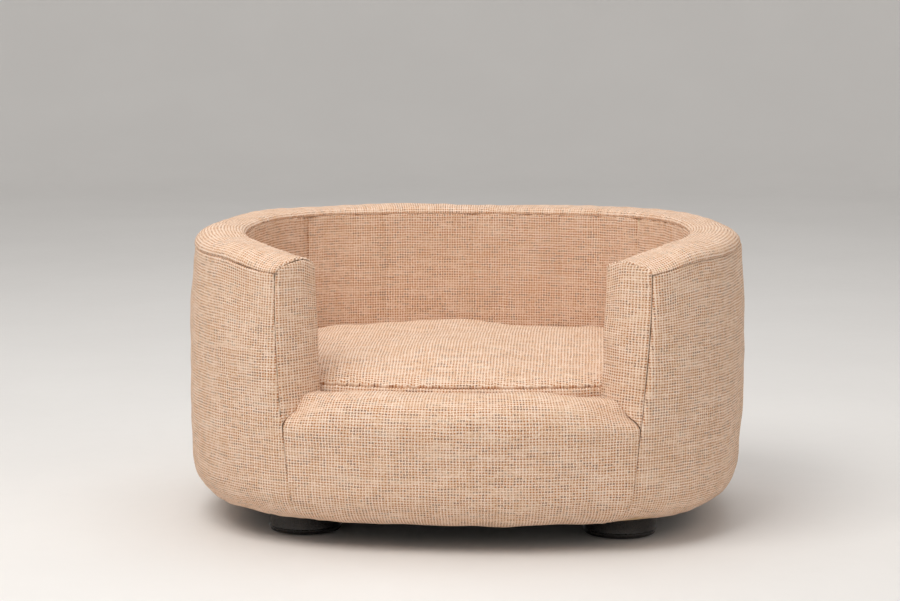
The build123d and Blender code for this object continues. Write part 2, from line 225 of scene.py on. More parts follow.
def arm_corner(height):
    """Inner corner of the right arm's front at a height."""
    shift = (np.asarray(height) - SILL_Z) * tan(ARM_LEAN)
    start_theta = -np.pi / 2 + asin((OPENING_HALF - corner_x) / (CORNER_ARC - WALL))
    start_y = plan(start_theta, WALL)[1]
    return OPENING_HALF + shift * cos(ARM_SPLAY), start_y + shift * sin(ARM_SPLAY)


def arm_theta(inset, height):
    """Where the right arm's front plane cuts the oval at an inset and a height."""
    inset, height = np.broadcast_arrays(np.asarray(inset, float), np.asarray(height, float))
    corner = arm_corner(height)
    low = np.full(inset.shape, radians(-88.0))
    high = np.full(inset.shape, radians(-12.0))
    for _ in range(36):
        middle = (low + high) / 2
        x, y = plan(middle, inset)
        inside = (x - corner[0]) * cos(ARM_SPLAY) + (y - corner[1]) * sin(ARM_SPLAY) > 0
        high = np.where(inside, middle, high)
        low = np.where(inside, low, middle)
    return (low + high) / 2


def arm_run(inset, height, side):
    """Outline length, back from the middle of the back, where an arm's padded front stands."""
    depth_share = np.clip(inset / WALL, 0.0, 1.0)
    rise = np.clip((height - SILL_Z) / (RIM_Z - SILL_Z), 0.0, 1.0)
    set_back = -ARM_FULLNESS - (INNER_AHEAD[0] + INNER_AHEAD[1] * rise) * depth_share
    if side == "right":
        set_back = set_back + (RIGHT_TWIST[0] + RIGHT_TWIST[1] * rise) * (1.0 - depth_share)
    return run_of(arm_theta(inset, height)) + set_back * CORNER_ARC / (CORNER_ARC - inset)


def drooped(points):
    """The points with the rim let down towards the arm fronts, where the padding ends."""
    corner = arm_corner(points[..., 2])
    behind = (np.abs(points[..., 0]) - corner[0]) * cos(ARM_SPLAY)
    behind = behind + (points[..., 1] - corner[1]) * sin(ARM_SPLAY)
    near = 1.0 - smooth(0.0, DROOP_REACH, behind)
    lowered = points.copy()
    lowered[..., 2] -= DROOP * near * smooth(SILL_Z + 0.03, OUTER_SEAM_Z, points[..., 2])
    return lowered


for label, height in (("sill", SILL_Z), ("rim", RIM_Z)):
    x, y = plan(arm_theta(0.0, height), 0.0)
    print(f"arm front at the {label}: outer corner x {1000 * x:.0f}, y {1000 * y:.0f} mm")

# %% [markdown]
# ## How a cover is drawn
# Each cover panel is a grid: one way round the tub, the other way up its section. The grid is
# finer beside its sewn edges, where the cloth rolls into the seam. The panel keeps its true
# lengths as a UV map, so the weave follows the cloth and keeps its scale.

# %% Helpers for grids
SEAM_STEPS = np.array([0.0, 0.0004, 0.0009, 0.0016, 0.0026, 0.0040, 0.0060, 0.0085])


def stations(length, step, fine_start=True, fine_end=True):
    """Distances along an edge, close together beside a seam."""
    start = SEAM_STEPS if fine_start else np.zeros(1)
    end = length - (SEAM_STEPS if fine_end else np.zeros(1))[::-1]
    count = max(2, ceil((end[0] - start[-1]) / step) + 1)
    return np.concatenate([start, np.linspace(start[-1], end[0], count)[1:-1], end])


def along_path(points, distances):
    """Points of a polyline at the given distances along it."""
    points = np.asarray(points, float)
    steps = np.hypot(*np.diff(points, axis=0).T)
    run = np.concatenate([[0.0], np.cumsum(steps)])
    return np.stack([np.interp(distances, run, column) for column in points.T], axis=1)


def path_length(points):
    return float(np.hypot(*np.diff(np.asarray(points, float), axis=0).T).sum())


def arc(centre, radii, start, end, count=14):
    """Points of a quarter ellipse in the section's plane of inset and height."""
    angle = np.radians(np.linspace(start, end, count))
    return np.stack([centre[0] + radii[0] * np.cos(angle), centre[1] + radii[1] * np.sin(angle)], 1)


def inner_edge(points, offset):
    """A section's polyline moved towards the inside of the wall."""
    points = np.asarray(points, float)
    step = np.gradient(points, axis=0)
    step /= np.linalg.norm(step, axis=1, keepdims=True)
    return points + offset * np.stack([step[:, 1], -step[:, 0]], axis=1)


def grid_normals(points):
    """Unit normals of a grid whose columns run round the tub and whose rows run up it."""
    normal = np.cross(np.gradient(points, axis=1), np.gradient(points, axis=0))
    return normal / np.maximum(np.linalg.norm(normal, axis=2, keepdims=True), 1e-12)


def smooth(low, high, value):
    """Rises smoothly from 0 to 1 between two values."""
    t = np.clip((np.asarray(value, float) - low) / (high - low), 0.0, 1.0)
    return t * t * (3 - 2 * t)


def ripple(seed, *coordinates, waves=7, longest=0.16, shortest=0.03):
    """A soft uneven field between about -1 and 1, from a few waves in drawn directions."""
    draw = np.random.default_rng(seed)
    total = np.zeros(np.broadcast(*coordinates).shape)
    for _ in range(waves):
        length = draw.uniform(shortest, longest)
        heading = draw.normal(size=len(coordinates))
        heading /= np.linalg.norm(heading)
        phase = draw.uniform(0, 2 * pi)
        total += np.sin(2 * pi / length * sum(h * c for h, c in zip(heading, coordinates)) + phase)
    return total / sqrt(waves)


def cloth_mesh(name, points, cloth, flip=False):
    """A grid of points as a smooth mesh object, with its true lengths as the UV map 'cloth'."""
    rows, columns = points.shape[:2]
    index = np.arange(rows * columns).reshape(rows, columns)
    faces = np.stack([index[:-1, :-1], index[:-1, 1:], index[1:, 1:], index[1:, :-1]], axis=-1)
    faces = faces.reshape(-1, 4)
    if flip:
        faces = faces[:, ::-1]
    mesh = bpy.data.meshes.new(name)
    mesh.from_pydata(points.reshape(-1, 3).tolist(), [], faces.tolist())
    layer = mesh.uv_layers.new(name="cloth")
    layer.data.foreach_set("uv", cloth.reshape(-1, 2)[faces.reshape(-1)].ravel())
    mesh.shade_smooth()
    piece = bpy.data.objects.new(name, mesh)
    bpy.context.collection.objects.link(piece)
    return piece


def give_thickness(piece, thickness=FABRIC):
    """Backs an open panel with its own inner side."""
    wall = piece.modifiers.new("thickness", "SOLIDIFY")
    wall.thickness = thickness
    wall.offset = -1.0
    wall.use_rim = True


SEAM_DEPTH = 0.0012
SEAM_ROLL = 0.0008
PUCKER_REACH = 0.011


def seam_relief(distance, run, seed, depth=SEAM_DEPTH, pucker=0.0005):
    """How far cloth lies below its surface beside a seam: the rolled edge, and its puckers."""
    roll = -depth * np.exp(-((distance / SEAM_ROLL) ** 1.3))
    waves = ripple(seed, run, waves=9, longest=0.020, shortest=0.007)
    gather = pucker * waves * np.exp(-((distance / PUCKER_REACH) ** 2)) * (distance > 0)
    return roll + gather


# %% Sections of the wall, as pairs of inset and height
TURN_UNDER = 0.054
BOTTOM_ROUND = 0.042
FOOT_OF_WALL = 0.003
LEAN_IN = 0.007
WIDEST_Z = 0.155
NEST_INSET = WALL + 0.0006


def wall_inset(height):
    """Inset of the outer wall's surface: widest half way up, drawn in at the rim."""
    above = LEAN_IN * ((height - WIDEST_Z) / (OUTER_SEAM_Z - WIDEST_Z)) ** 2
    knee = UNDERSIDE + BOTTOM_ROUND
    below = FOOT_OF_WALL * ((WIDEST_Z - height) / (WIDEST_Z - knee)) ** 2
    return np.where(height > WIDEST_Z, above, below)


knee_z = UNDERSIDE + BOTTOM_ROUND
rolled = arc((FOOT_OF_WALL + BOTTOM_ROUND, knee_z), (BOTTOM_ROUND, BOTTOM_ROUND), 270, 180)
climb = np.linspace(knee_z, OUTER_SEAM_Z, 40)[1:]
outer_section = np.concatenate(
    [[(TURN_UNDER, UNDERSIDE)], rolled, np.stack([wall_inset(climb), climb], axis=1)]
)
RIM_SHOULDER = 0.024
RIM_LIP = 0.0085
shoulder = arc((LEAN_IN + RIM_SHOULDER, OUTER_SEAM_Z), (RIM_SHOULDER, RIM_Z - OUTER_SEAM_Z), 180, 90)
lip = arc((NEST_INSET - RIM_LIP, INNER_SEAM_Z), (RIM_LIP, RIM_Z - 0.0006 - INNER_SEAM_Z), 90, 0)
rim_section = np.concatenate([shoulder, lip])
inner_section = np.array([(NEST_INSET, INNER_SEAM_Z), (NEST_INSET, DECK_Z + 0.0005)])


def rim_height(inset):
    """Height of the rim's surface at an inset."""
    order = rim_section[:, 0].argsort()
    return np.interp(inset, rim_section[order, 0], rim_section[order, 1])


SILL_FRONT = 0.038
SILL_BACK = 0.014
SILL_SWELL = 0.002
sill_roll = arc((SILL_SWELL + BOTTOM_ROUND, knee_z), (BOTTOM_ROUND, BOTTOM_ROUND), 270, 180)
sill_shoulder = arc((SILL_FRONT, SILL_Z - SILL_FRONT), (SILL_FRONT, SILL_FRONT), 180, 90, 24)
sill_rear = arc((NEST_INSET - SILL_BACK, SILL_Z - SILL_BACK), (SILL_BACK, SILL_BACK), 90, 0, 12)
sill_section = np.concatenate(
    [[(TURN_UNDER, UNDERSIDE)], sill_roll, sill_shoulder, sill_rear, [(NEST_INSET, DECK_Z + 0.0005)]]
)


def sill_height(inset):
    """Height of the sill's top surface at an inset."""
    top = np.concatenate([sill_shoulder, sill_rear])
    order = top[:, 0].argsort()
    return np.interp(inset, top[order, 0], top[order, 1])


print(f"outer section {1000 * path_length(outer_section):.0f} mm, rim {1000 * path_length(rim_section):.0f} mm")

# %% [markdown]
# ## The outer cover
# One long strip of cloth wraps the sides and the back. It rolls under the base at the bottom, is
# sewn to the rim strip at the top, and turns the corner of each arm half way, where the upright
# seam of the arm front runs. Below the arms its ends are sewn to the sill.

# %% Outer cover
CLOTH_STEP = 0.0045
CORNER_ROUND = 0.011
SILL_CREASE = 0.0015
HALF_TURN = 1.0 - cos(radians(45.0))
LEFT_FULLNESS = 0.0030
RIGHT_FULLNESS = 0.0025


def corner_round(height):
    """Radius where the outer wall turns into the arm front; only a crease beside the sill."""
    blend = smooth(SILL_Z - 0.045, SILL_Z - 0.010, height)
    return SILL_CREASE + (CORNER_ROUND - SILL_CREASE) * blend


def rounded_off(distance, radius):
    """How far a surface falls away at a distance from a rounded edge."""
    inside = np.clip(radius - distance, 0.0, radius)
    return radius - np.sqrt(np.maximum(radius**2 - inside**2, 0.0))


def around_the_tub(section_points, start_gap, step=CLOTH_STEP):
    """A grid of outline lengths, insets and heights from the right arm to the left arm."""
    inset = section_points[:, 0][:, None]
    height = section_points[:, 1][:, None]
    first = arm_run(inset, height, "right") + start_gap(inset, height)
    last = -arm_run(inset, height, "left") - start_gap(inset, height)
    longest = float((last - first).max())
    share = stations(longest, step) / longest
    run = first + (last - first) * share[None, :]
    gap = np.minimum(run - first, last - run)
    return run, inset + 0 * run, height + 0 * run, gap


def place_grid(run, inset, height):
    x, y = plan(theta_of(run), inset)
    return np.stack([x, y, height], axis=2)


def filled_out(points, run, height, gap, share=1.0):
    """The points moved outwards where the padding of the side walls is fuller."""
    theta = theta_of(run)
    left = LEFT_FULLNESS * np.exp(-(((theta - pi) / 0.8) ** 2))
    right = RIGHT_FULLNESS * np.exp(-((theta / 0.7) ** 2)) * smooth(0.12, 0.28, height)
    out = (left + right) * smooth(0.0, 0.10, gap) * share
    return points + np.stack([np.cos(theta) * out, np.sin(theta) * out, 0 * out], axis=2)


def section_lengths(points):
    steps = np.hypot(*np.diff(points, axis=0).T)
    return np.concatenate([[0.0], np.cumsum(steps)])


outer_rows = along_path(outer_section, stations(path_length(outer_section), CLOTH_STEP))
run, inset, height, gap = around_the_tub(outer_rows, lambda d, z: HALF_TURN * corner_round(z))
up = section_lengths(outer_rows)[:, None] + 0 * run
points = place_grid(run, inset, height)
normals = grid_normals(points)
radius = corner_round(height)
from_corner = gap + HALF_TURN * radius
top_gap = up.max() - up
relief = -rounded_off(from_corner, radius)
side_depth = SEAM_DEPTH * (0.35 + 0.65 * smooth(SILL_Z - 0.06, SILL_Z - 0.03, height))
relief += seam_relief(gap, up, 11, side_depth, 0.0003) + seam_relief(top_gap, run, 12, pucker=0.0004)
relief += 0.0010 * ripple(13, run, up, longest=0.30, shortest=0.09) * smooth(0.0, 0.03, gap)
relief += 0.0004 * ripple(14, run * 2.2, up, longest=0.07, shortest=0.025) * smooth(0.0, 0.02, gap)
relief += -0.0008 * smooth(0.03, 0.0, up) * np.abs(ripple(15, run, longest=0.06, shortest=0.02))
points = drooped(filled_out(points + normals * relief[..., None], run, height, gap))
outer_cover = cloth_mesh("outer_cover_cloth", points, np.stack([run, up], axis=2))
give_thickness(outer_cover)
outer_seam_line = points[-1]
arm_seam_lines = {"right": points[:, 0], "left": points[:, -1]}
print("outer cover:", len(outer_cover.data.polygons), "faces")

# %% [markdown]
# ## The rim strip
# A narrow strip runs over the top of the wall from one arm to the other. Its outer seam lies on
# the side of the roll, its inner seam just inside the lip, and it ends at each arm with a short
# slanting seam. The padding under it is not quite even, so the strip's outline wavers a little.

# %% Rim strip
TOP_ROUND = 0.0055
INNER_ROUND = 0.009
OVERLAP = 0.0009
RIM_STEP = 0.004
LIP_DROP = 0.0085
LIP_REACH = 0.055
FLATTENED = 0.60
FLAT_REACH = 0.060


def lip_lowered(points, inset, gap):
    """The rim's inner edge rolls further down beside the arm fronts."""
    roll = smooth(NEST_INSET - 0.026, NEST_INSET + 0.002, inset) * (1.0 - smooth(0.0, LIP_REACH, gap))
    lowered = points.copy()
    lowered[..., 2] -= LIP_DROP * roll * smooth(SILL_Z + 0.06, INNER_SEAM_Z, points[..., 2])
    return lowered


def strip_end(inset, height):
    """How far behind the arm fronts the rim strip ends: it follows the panel's rounded edge."""
    return HALF_TURN * TOP_ROUND - OVERLAP + rounded_off(NEST_INSET - inset, INNER_ROUND) + 0 * height


def shoulder_drop(inset, height):
    """How far the rim's outer shoulder sinks beside the arm fronts, towards a straight slope."""
    slope = (RIM_Z - OUTER_SEAM_Z) / (NEST_INSET - RIM_LIP - LEAN_IN)
    straight = OUTER_SEAM_Z + slope * (inset - LEAN_IN)
    return FLATTENED * np.clip(height - straight, 0.0, None) * (inset < NEST_INSET - RIM_LIP)


rim_rows = along_path(rim_section, stations(path_length(rim_section), RIM_STEP))
run, inset, height, gap = around_the_tub(rim_rows, strip_end, RIM_STEP)
up = section_lengths(rim_rows)[:, None] + 0 * run
points = place_grid(run, inset, height)
normals = grid_normals(points)
relief = -rounded_off(gap + HALF_TURN * TOP_ROUND, TOP_ROUND)
relief += seam_relief(gap, up, 21, pucker=0.0003)
relief += seam_relief(up, run, 22, pucker=0.0004)
relief += seam_relief(up.max() - up, run, 23, pucker=0.0006)
crest = smooth(0.0, 0.02, up) * smooth(0.0, 0.02, up.max() - up)
relief += 0.0011 * ripple(24, run, longest=0.34, shortest=0.12) * crest
relief += 0.0004 * ripple(25, run, up, longest=0.06, shortest=0.02) * crest
points = points + normals * relief[..., None]
outer_share = 1.0 - smooth(LEAN_IN, LEAN_IN + 0.032, inset)
points = filled_out(points, run, height, gap, outer_share)
points[..., 2] -= shoulder_drop(inset, height) * (1.0 - smooth(0.0, FLAT_REACH, gap))
points = drooped(lip_lowered(points, inset, gap + HALF_TURN * TOP_ROUND))
rim_cover = cloth_mesh("rim_cover_cloth", points, np.stack([up, run], axis=2))
give_thickness(rim_cover)
inner_seam_line = points[-1]
print("rim strip:", len(rim_cover.data.polygons), "faces")

# %% [markdown]
# ## The inner cover
# Inside the nest the cover is made of upright panels, sewn edge to edge every ten centimetres or
# so across the back. The seams show as shallow creases; the one at the left of the back is drawn
# tighter than the others. Small folds hang from the rim seam.

# %% Inner cover
BACK_SEAMS = {-0.190: 1.0, -0.104: 0.55, -0.003: 0.45, 0.098: 0.50, 0.186: 0.50}
SIDE_SEAM_RUNS = (-0.46, 0.46)
ARM_WRAP = 0.030
FINE_HALF = 0.009


def run_at_back(x):
    """Length along the outline where the nest's back wall has a given x."""
    tries = np.linspace(0.0, pi, 2001)
    return float(run_of(np.interp(-x, -plan(tries, NEST_INSET)[0], tries)))


seam_runs = {run_at_back(x): pull for x, pull in BACK_SEAMS.items()}
for side_run in SIDE_SEAM_RUNS:
    seam_runs[side_run] = 0.3
inner_rows = along_path(inner_section, stations(path_length(inner_section), 0.006, True, False))
run, inset, height, gap = around_the_tub(inner_rows, lambda d, z: ARM_WRAP + 0 * z, 0.0035)
for seam in seam_runs:
    nearest = np.abs(run[0] - seam) < FINE_HALF
    offset = run[:, nearest] - seam
    run[:, nearest] = seam + offset * (np.abs(offset) / FINE_HALF) ** 0.6
up = INNER_SEAM_Z - height
points = place_grid(run, inset, height)
normals = grid_normals(points)
relief = seam_relief(up, run, 31, depth=0.0014, pucker=0.0005) + seam_relief(gap, up, 32)
for number, (seam, pull) in enumerate(seam_runs.items()):
    away = np.abs(run - seam)
    wander = 0.0006 * ripple(40 + number, up, longest=0.09, shortest=0.03)
    crease = np.exp(-((np.abs(run - seam - wander) / 0.0011) ** 1.4))
    relief += -pull * 0.0024 * crease - pull * 0.0014 * np.exp(-((away / 0.012) ** 2))
    gathers = ripple(60 + number, up, waves=8, longest=0.022, shortest=0.009)
    relief += pull * 0.0005 * gathers * np.exp(-((away / 0.012) ** 2))
folds = np.maximum(ripple(36, run, waves=10, longest=0.05, shortest=0.014), 0.0)
relief += -0.0010 * folds * np.exp(-((up / 0.045) ** 2)) * smooth(-0.05, 0.15, -run)
relief += 0.0006 * ripple(37, run, up * 0.4, longest=0.11, shortest=0.04)
points = points + normals * np.minimum(relief, 0.0008)[..., None]
points = drooped(lip_lowered(points, inset, gap + ARM_WRAP))
inner_cover = cloth_mesh("inner_cover_cloth", points, np.stack([run, -up], axis=2))
give_thickness(inner_cover)
print("inner cover:", len(inner_cover.data.polygons), "faces,", len(seam_runs), "upright seams")

# %% [markdown]
# ## The arm fronts
# Each arm ends in its own panel. It starts at the upright seam on the outer corner, crosses the
# front with a slight crown, rounds the inner edge without a seam and is sewn to the inner cover
# out of sight. At the top it meets the rim strip, and its foot follows the sill's rolled edge.

# %% Where the sill meets the arms
SHOULDER_DROP = 0.0085
SHOULDER_REACH = 0.055
END_DROP = {"left": 0.0030, "right": 0.0070}
END_REACH = 0.100


def shoulder_cut(inset, height):
    """Depth that the sill's shoulder is flattened by beside the arms, along its normal."""
    turned = np.arctan2(height - (SILL_Z - SILL_FRONT), SILL_FRONT - inset)
    on_shoulder = (inset < SILL_FRONT) & (height > SILL_Z - SILL_FRONT)
    return np.where(on_shoulder, SHOULDER_DROP * np.sin(2 * np.clip(turned, 0, pi / 2)) ** 2, 0.0)


cut = shoulder_cut(sill_shoulder[:, 0], sill_shoulder[:, 1])
turned = np.linspace(0.0, pi / 2, len(sill_shoulder))
end_shoulder = sill_shoulder + np.stack([cut * np.cos(turned), -cut * np.sin(turned)], axis=1)
end_profile = np.concatenate([end_shoulder, sill_rear])


def seam_height(inset, side):
    """Height of the seam between an arm front and the sill, at an inset."""
    order = end_profile[:, 0].argsort()
    crest = smooth(0.0, 0.038, inset)
    return np.interp(inset, end_profile[order, 0], end_profile[order, 1]) - END_DROP[side] * crest


print(f"sill seam at the left arm: {1000 * seam_height(0.02, 'left'):.0f} mm up, 20 mm in")

# %% Arm front panels
ARM_CROWN = 0.0030
ARM_ROWS_STEP = 0.0045
HEM_IN_SEAM = 0.0012


def arm_path(height, stop):
    """Distance into the arm, inset and outward directions across the panel at a height."""
    base = np.where(height > RIM_Z, LEAN_IN, wall_inset(np.minimum(height, OUTER_SEAM_Z)))
    radius = corner_round(height)
    kind, t = stop
    if kind == "outer corner":
        angle = radians(45.0) + radians(45.0) * t
        into = radius - radius * np.sin(angle)
        return into, base + radius - radius * np.cos(angle), np.sin(angle), np.cos(angle)
    if kind == "front":
        width = NEST_INSET - INNER_ROUND - base - radius
        return -ARM_CROWN * 4 * t * (1 - t) + 0 * height, base + radius + width * t, 1.0, 0.0
    if kind == "inner corner":
        angle = radians(90.0) * t
        into = INNER_ROUND * (1 - np.cos(angle)) + 0 * height
        inset = NEST_INSET - INNER_ROUND + INNER_ROUND * np.sin(angle) + 0 * height
        return into, inset, np.cos(angle), -np.sin(angle)
    into = INNER_ROUND + (ARM_WRAP + 0.004 - INNER_ROUND) * t + 0 * height
    return into, NEST_INSET + 0 * height, 0.0, -1.0


across_panel = [("outer corner", t) for t in np.array([0.0, 0.04, 0.09, 0.17, 0.30, 0.5, 0.75])]
across_panel += [("front", t) for t in np.linspace(0, 1, 12)[:-1]]
across_panel += [("inner corner", t) for t in np.linspace(0, 1, 9)[:-1]]
across_panel += [("inside", t) for t in np.linspace(0, 1, 7)]
panel_height = RIM_Z - SILL_Z + 0.06
up_shares = stations(panel_height, ARM_ROWS_STEP, True, True) / panel_height


flat_end = rim_section.copy()
flat_end[:, 1] -= shoulder_drop(flat_end[:, 0], flat_end[:, 1])
rim_end = inner_edge(flat_end, HALF_TURN * TOP_ROUND)
rim_end = rim_end[np.append(np.diff(rim_end[:, 0]) > 0, True)]


def arm_front(side):
    """Points of an arm's front panel, its true lengths and the line of its foot."""
    columns, lengths = [], []
    for kind, t in across_panel:
        foot_z = SILL_Z
        for _ in range(6):
            foot_inset = float(arm_path(np.array([foot_z]), (kind, t))[1][0])
            foot_z = float(seam_height(min(foot_inset, NEST_INSET), side)) - HEM_IN_SEAM
        top_inset = float(arm_path(np.array([OUTER_SEAM_Z]), (kind, t))[1][0])
        edge_z = float(np.interp(top_inset, rim_end[:, 0], rim_end[:, 1])) + OVERLAP
        top_radius = TOP_ROUND * (1.0 - smooth(0.0, 0.7, t if kind == "inside" else 0.0))
        straight = edge_z - top_radius * sin(radians(45.0)) - foot_z
        climb = up_shares * (straight + top_radius * radians(45.0))
        turn = np.clip((climb - straight) / max(top_radius, 1e-6), 0.0, radians(45.0))
        z = foot_z + np.minimum(climb, straight) + top_radius * np.sin(turn)
        pull_in = top_radius * (1 - np.cos(turn))
        into, inset_here, n_into, n_inset = arm_path(np.minimum(z, edge_z), (kind, t))
        columns.append(np.stack([into + n_into * pull_in, inset_here + n_inset * pull_in, z], axis=1))
        lengths.append(climb + foot_z)
    local = np.stack(columns, axis=1)
    width_steps = np.linalg.norm(np.diff(local[local.shape[0] // 2], axis=0)[:, :2], axis=1)
    from_side = np.concatenate([[0.0], np.cumsum(width_steps)])[None, :] + 0 * local[..., 0]
    cloth = np.stack([from_side, np.stack(lengths, axis=1)], axis=2)
    start = arm_run(local[..., 1], local[..., 2], side)
    run = start + local[..., 0] * CORNER_ARC / (CORNER_ARC - local[..., 1])
    x, y = plan(theta_of(run), local[..., 1])
    points = np.stack([x, y, local[..., 2]], axis=2)
    normals = -grid_normals(points)
    from_top = cloth[-1, :, 1][None, :] - cloth[..., 1]
    from_foot = cloth[..., 1] - cloth[0, :, 1][None, :]
    seed = {"right": 51, "left": 151}[side]
    relief = seam_relief(from_side, local[..., 2], seed, pucker=0.0003)
    seam_fade = 1.0 - smooth(0.055, 0.075, from_side)
    relief += seam_relief(from_top, from_side, seed + 1, pucker=0.0003) * seam_fade
    relief += seam_relief(from_foot, from_side, seed + 3, depth=0.0012, pucker=0.0003) * seam_fade
    relief += 0.0008 * ripple(seed + 2, from_side, local[..., 2], longest=0.12, shortest=0.04)
    points = points + normals * relief[..., None]
    points = drooped(lip_lowered(points, local[..., 1], np.maximum(local[..., 0], 0.0)))
    if side == "left":
        points = points * np.array([-1.0, 1.0, 1.0])
    return points, cloth


arm_covers = {}
arm_top_lines = {}
for side in ("right", "left"):
    points, cloth = arm_front(side)
    panel = cloth_mesh("arm_front_cloth_" + side, points, cloth, flip=side == "right")
    give_thickness(panel)
    arm_covers[side] = panel
    arm_top_lines[side] = points[-1, : len(across_panel) - 7]
print("arm front panels:", len(arm_covers["left"].data.polygons), "faces each")

# %% [markdown]
# ## The sill
# The front bolster is one padded panel. Its ends are sewn to the tub along a seam that slants over
# the shoulder and runs down the front. Foam fills it well, so the front bulges a little and the
# cloth gathers beside the end seams. Its crest sinks a few millimetres towards the arms.

# %% Sill cover
SEAM_GAP = 0.0002
sill_rows = along_path(sill_section, stations(path_length(sill_section), 0.004, False, False))
inset = sill_rows[:, 0][:, None]
height = sill_rows[:, 1][:, None]
front_middle = float(run_of(radians(-90.0)))
whole_run = float(run_of(radians(270.0)) - run_of(radians(-90.0)))
right_end = arm_run(inset, height, "right") - SEAM_GAP
left_end = whole_run * -1 - arm_run(inset, height, "left") + SEAM_GAP
share = stations(float((right_end - left_end).max()), 0.0042) / float((right_end - left_end).max())
run = left_end + (right_end - left_end) * share[None, :]
inset = inset + 0 * run
height = height + 0 * run
gap = np.minimum(run - left_end, right_end - run)
up = section_lengths(sill_rows)[:, None] + 0 * run
points = place_grid(run, inset, height)
normals = grid_normals(points)
middle_run = run - front_middle
front_share = smooth(knee_z - 0.03, knee_z + 0.03, height) * (1 - smooth(SILL_Z - 0.012, SILL_Z, height))
end_depth = SEAM_DEPTH * (0.35 + 0.65 * smooth(SILL_Z - 0.06, SILL_Z - 0.03, height))
relief = seam_relief(gap, up, 71, end_depth, 0.0005)
relief -= shoulder_cut(inset, height) * (1.0 - smooth(0.0, SHOULDER_REACH, gap))
relief += 0.0022 * front_share * smooth(0.0, 0.05, gap)
relief += 0.0009 * ripple(72, run, up, longest=0.20, shortest=0.07) * smooth(0.0, 0.03, gap)
relief += 0.0004 * ripple(73, run, up * 1.5, longest=0.06, shortest=0.02) * smooth(0.0, 0.02, gap)
points = points + normals * relief[..., None]
crest = smooth(SILL_Z - 0.045, SILL_Z - 0.002, height)
to_right = 1.0 - smooth(0.0, END_REACH, right_end - run)
to_left = 1.0 - smooth(0.0, END_REACH, run - left_end)
points[..., 2] -= (END_DROP["right"] * to_right + END_DROP["left"] * to_left) * crest
sill_cover = cloth_mesh("sill_cover_cloth", points, np.stack([run, up], axis=2))
give_thickness(sill_cover)
sill_seam_lines = {"right": points[:, -1], "left": points[:, 0]}
print("sill cover:", len(sill_cover.data.polygons), "faces")

# %% [markdown]
# ## Foam under the cloth
# Sheets of foam are glued over the frame before the covers go on. They are drawn as closed bodies
# a few millimetres inside the cloth, so the rounded edges of the covers have real padding behind
# them and nothing pokes through where the wall leans in.

# %% Foam bodies
FOAM_GAP = 0.0035
FOAM_BACK = WALL - 0.0362


def closed_body(name, rings):
    """A closed mesh from rings of points, one after another, with both ends capped."""
    count, size = rings.shape[:2]
    index = np.arange(count * size).reshape(count, size)
    following = np.roll(index, -1, axis=1)
    walls = np.stack([index[:-1], following[:-1], following[1:], index[1:]], axis=-1).reshape(-1, 4)
    faces = walls.tolist() + [index[0][::-1].tolist(), index[-1].tolist()]
    mesh = bpy.data.meshes.new(name)
    mesh.from_pydata(rings.reshape(-1, 3).tolist(), [], faces)
    body = bmesh.new()
    body.from_mesh(mesh)
    bmesh.ops.recalc_face_normals(body, faces=body.faces)
    body.to_mesh(mesh)
    body.free()
    piece = bpy.data.objects.new(name, mesh)
    bpy.context.collection.objects.link(piece)
    return piece


def foam_along(name, loop, end_gap, step=0.012):
    """A strip of foam with a closed section, run round the tub between the arm fronts."""
    loop = np.asarray(loop, float)
    inset = loop[:, 0][None, :]
    height = loop[:, 1][None, :]
    first = arm_run(inset, height, "right") + end_gap
    last = -arm_run(inset, height, "left") - end_gap
    count = ceil(float((last - first).max()) / step)
    share = np.linspace(0.0, 1.0, count)[:, None]
    run = first + (last - first) * share
    gap = np.minimum(run - first, last - run) + end_gap
    x, y = plan(theta_of(run), inset)
    sunk = shoulder_drop(inset + 0 * x, height) * (1.0 - smooth(0.0, FLAT_REACH + 0.01, gap))
    points = np.stack([x, y, height - sunk], axis=2)
    return closed_body(name, drooped(lip_lowered(points, inset + 0 * x, gap)))


outer_foam_low, outer_foam_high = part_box("outer_foam")
inner_foam_low, inner_foam_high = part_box("inner_foam")
rim_foam_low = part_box("rim_foam")[0]
SKIN_INSET = HALF_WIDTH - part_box("outer_skin")[1][0] - 0.0003
INNER_SKIN_INSET = HALF_WIDTH - inner_foam_high[0]
foam_face = inner_edge(outer_section[2::2], FOAM_GAP)
foam_face = foam_face[(foam_face[:, 0] < SKIN_INSET) & (foam_face[:, 1] > outer_foam_low[2])]
foam_face = foam_face[foam_face[:, 1] < outer_foam_high[2]]
outer_loop = [(SKIN_INSET, foam_face[0, 1]), *foam_face, (SKIN_INSET, foam_face[-1, 1])]
outer_foam = foam_along("outer_foam_sheet", outer_loop, 0.022)
rim_face = inner_edge(rim_section[1:-1], FOAM_GAP)
rim_face = rim_face[rim_face[:, 1] > rim_foam_low[2] + 0.002]
rim_loop = [(rim_face[0, 0], rim_foam_low[2]), *rim_face, (rim_face[-1, 0], rim_foam_low[2])]
rim_foam = foam_along("rim_foam_roll", rim_loop, 0.022)
INNER_FOAM_FACE = NEST_INSET - 0.0075
low, high = inner_foam_low[2], inner_foam_high[2]
inner_loop = [(INNER_SKIN_INSET, low), (INNER_SKIN_INSET, high), (INNER_FOAM_FACE, high), (INNER_FOAM_FACE, low)]
inner_foam = foam_along("inner_foam_sheet", inner_loop, 0.022)

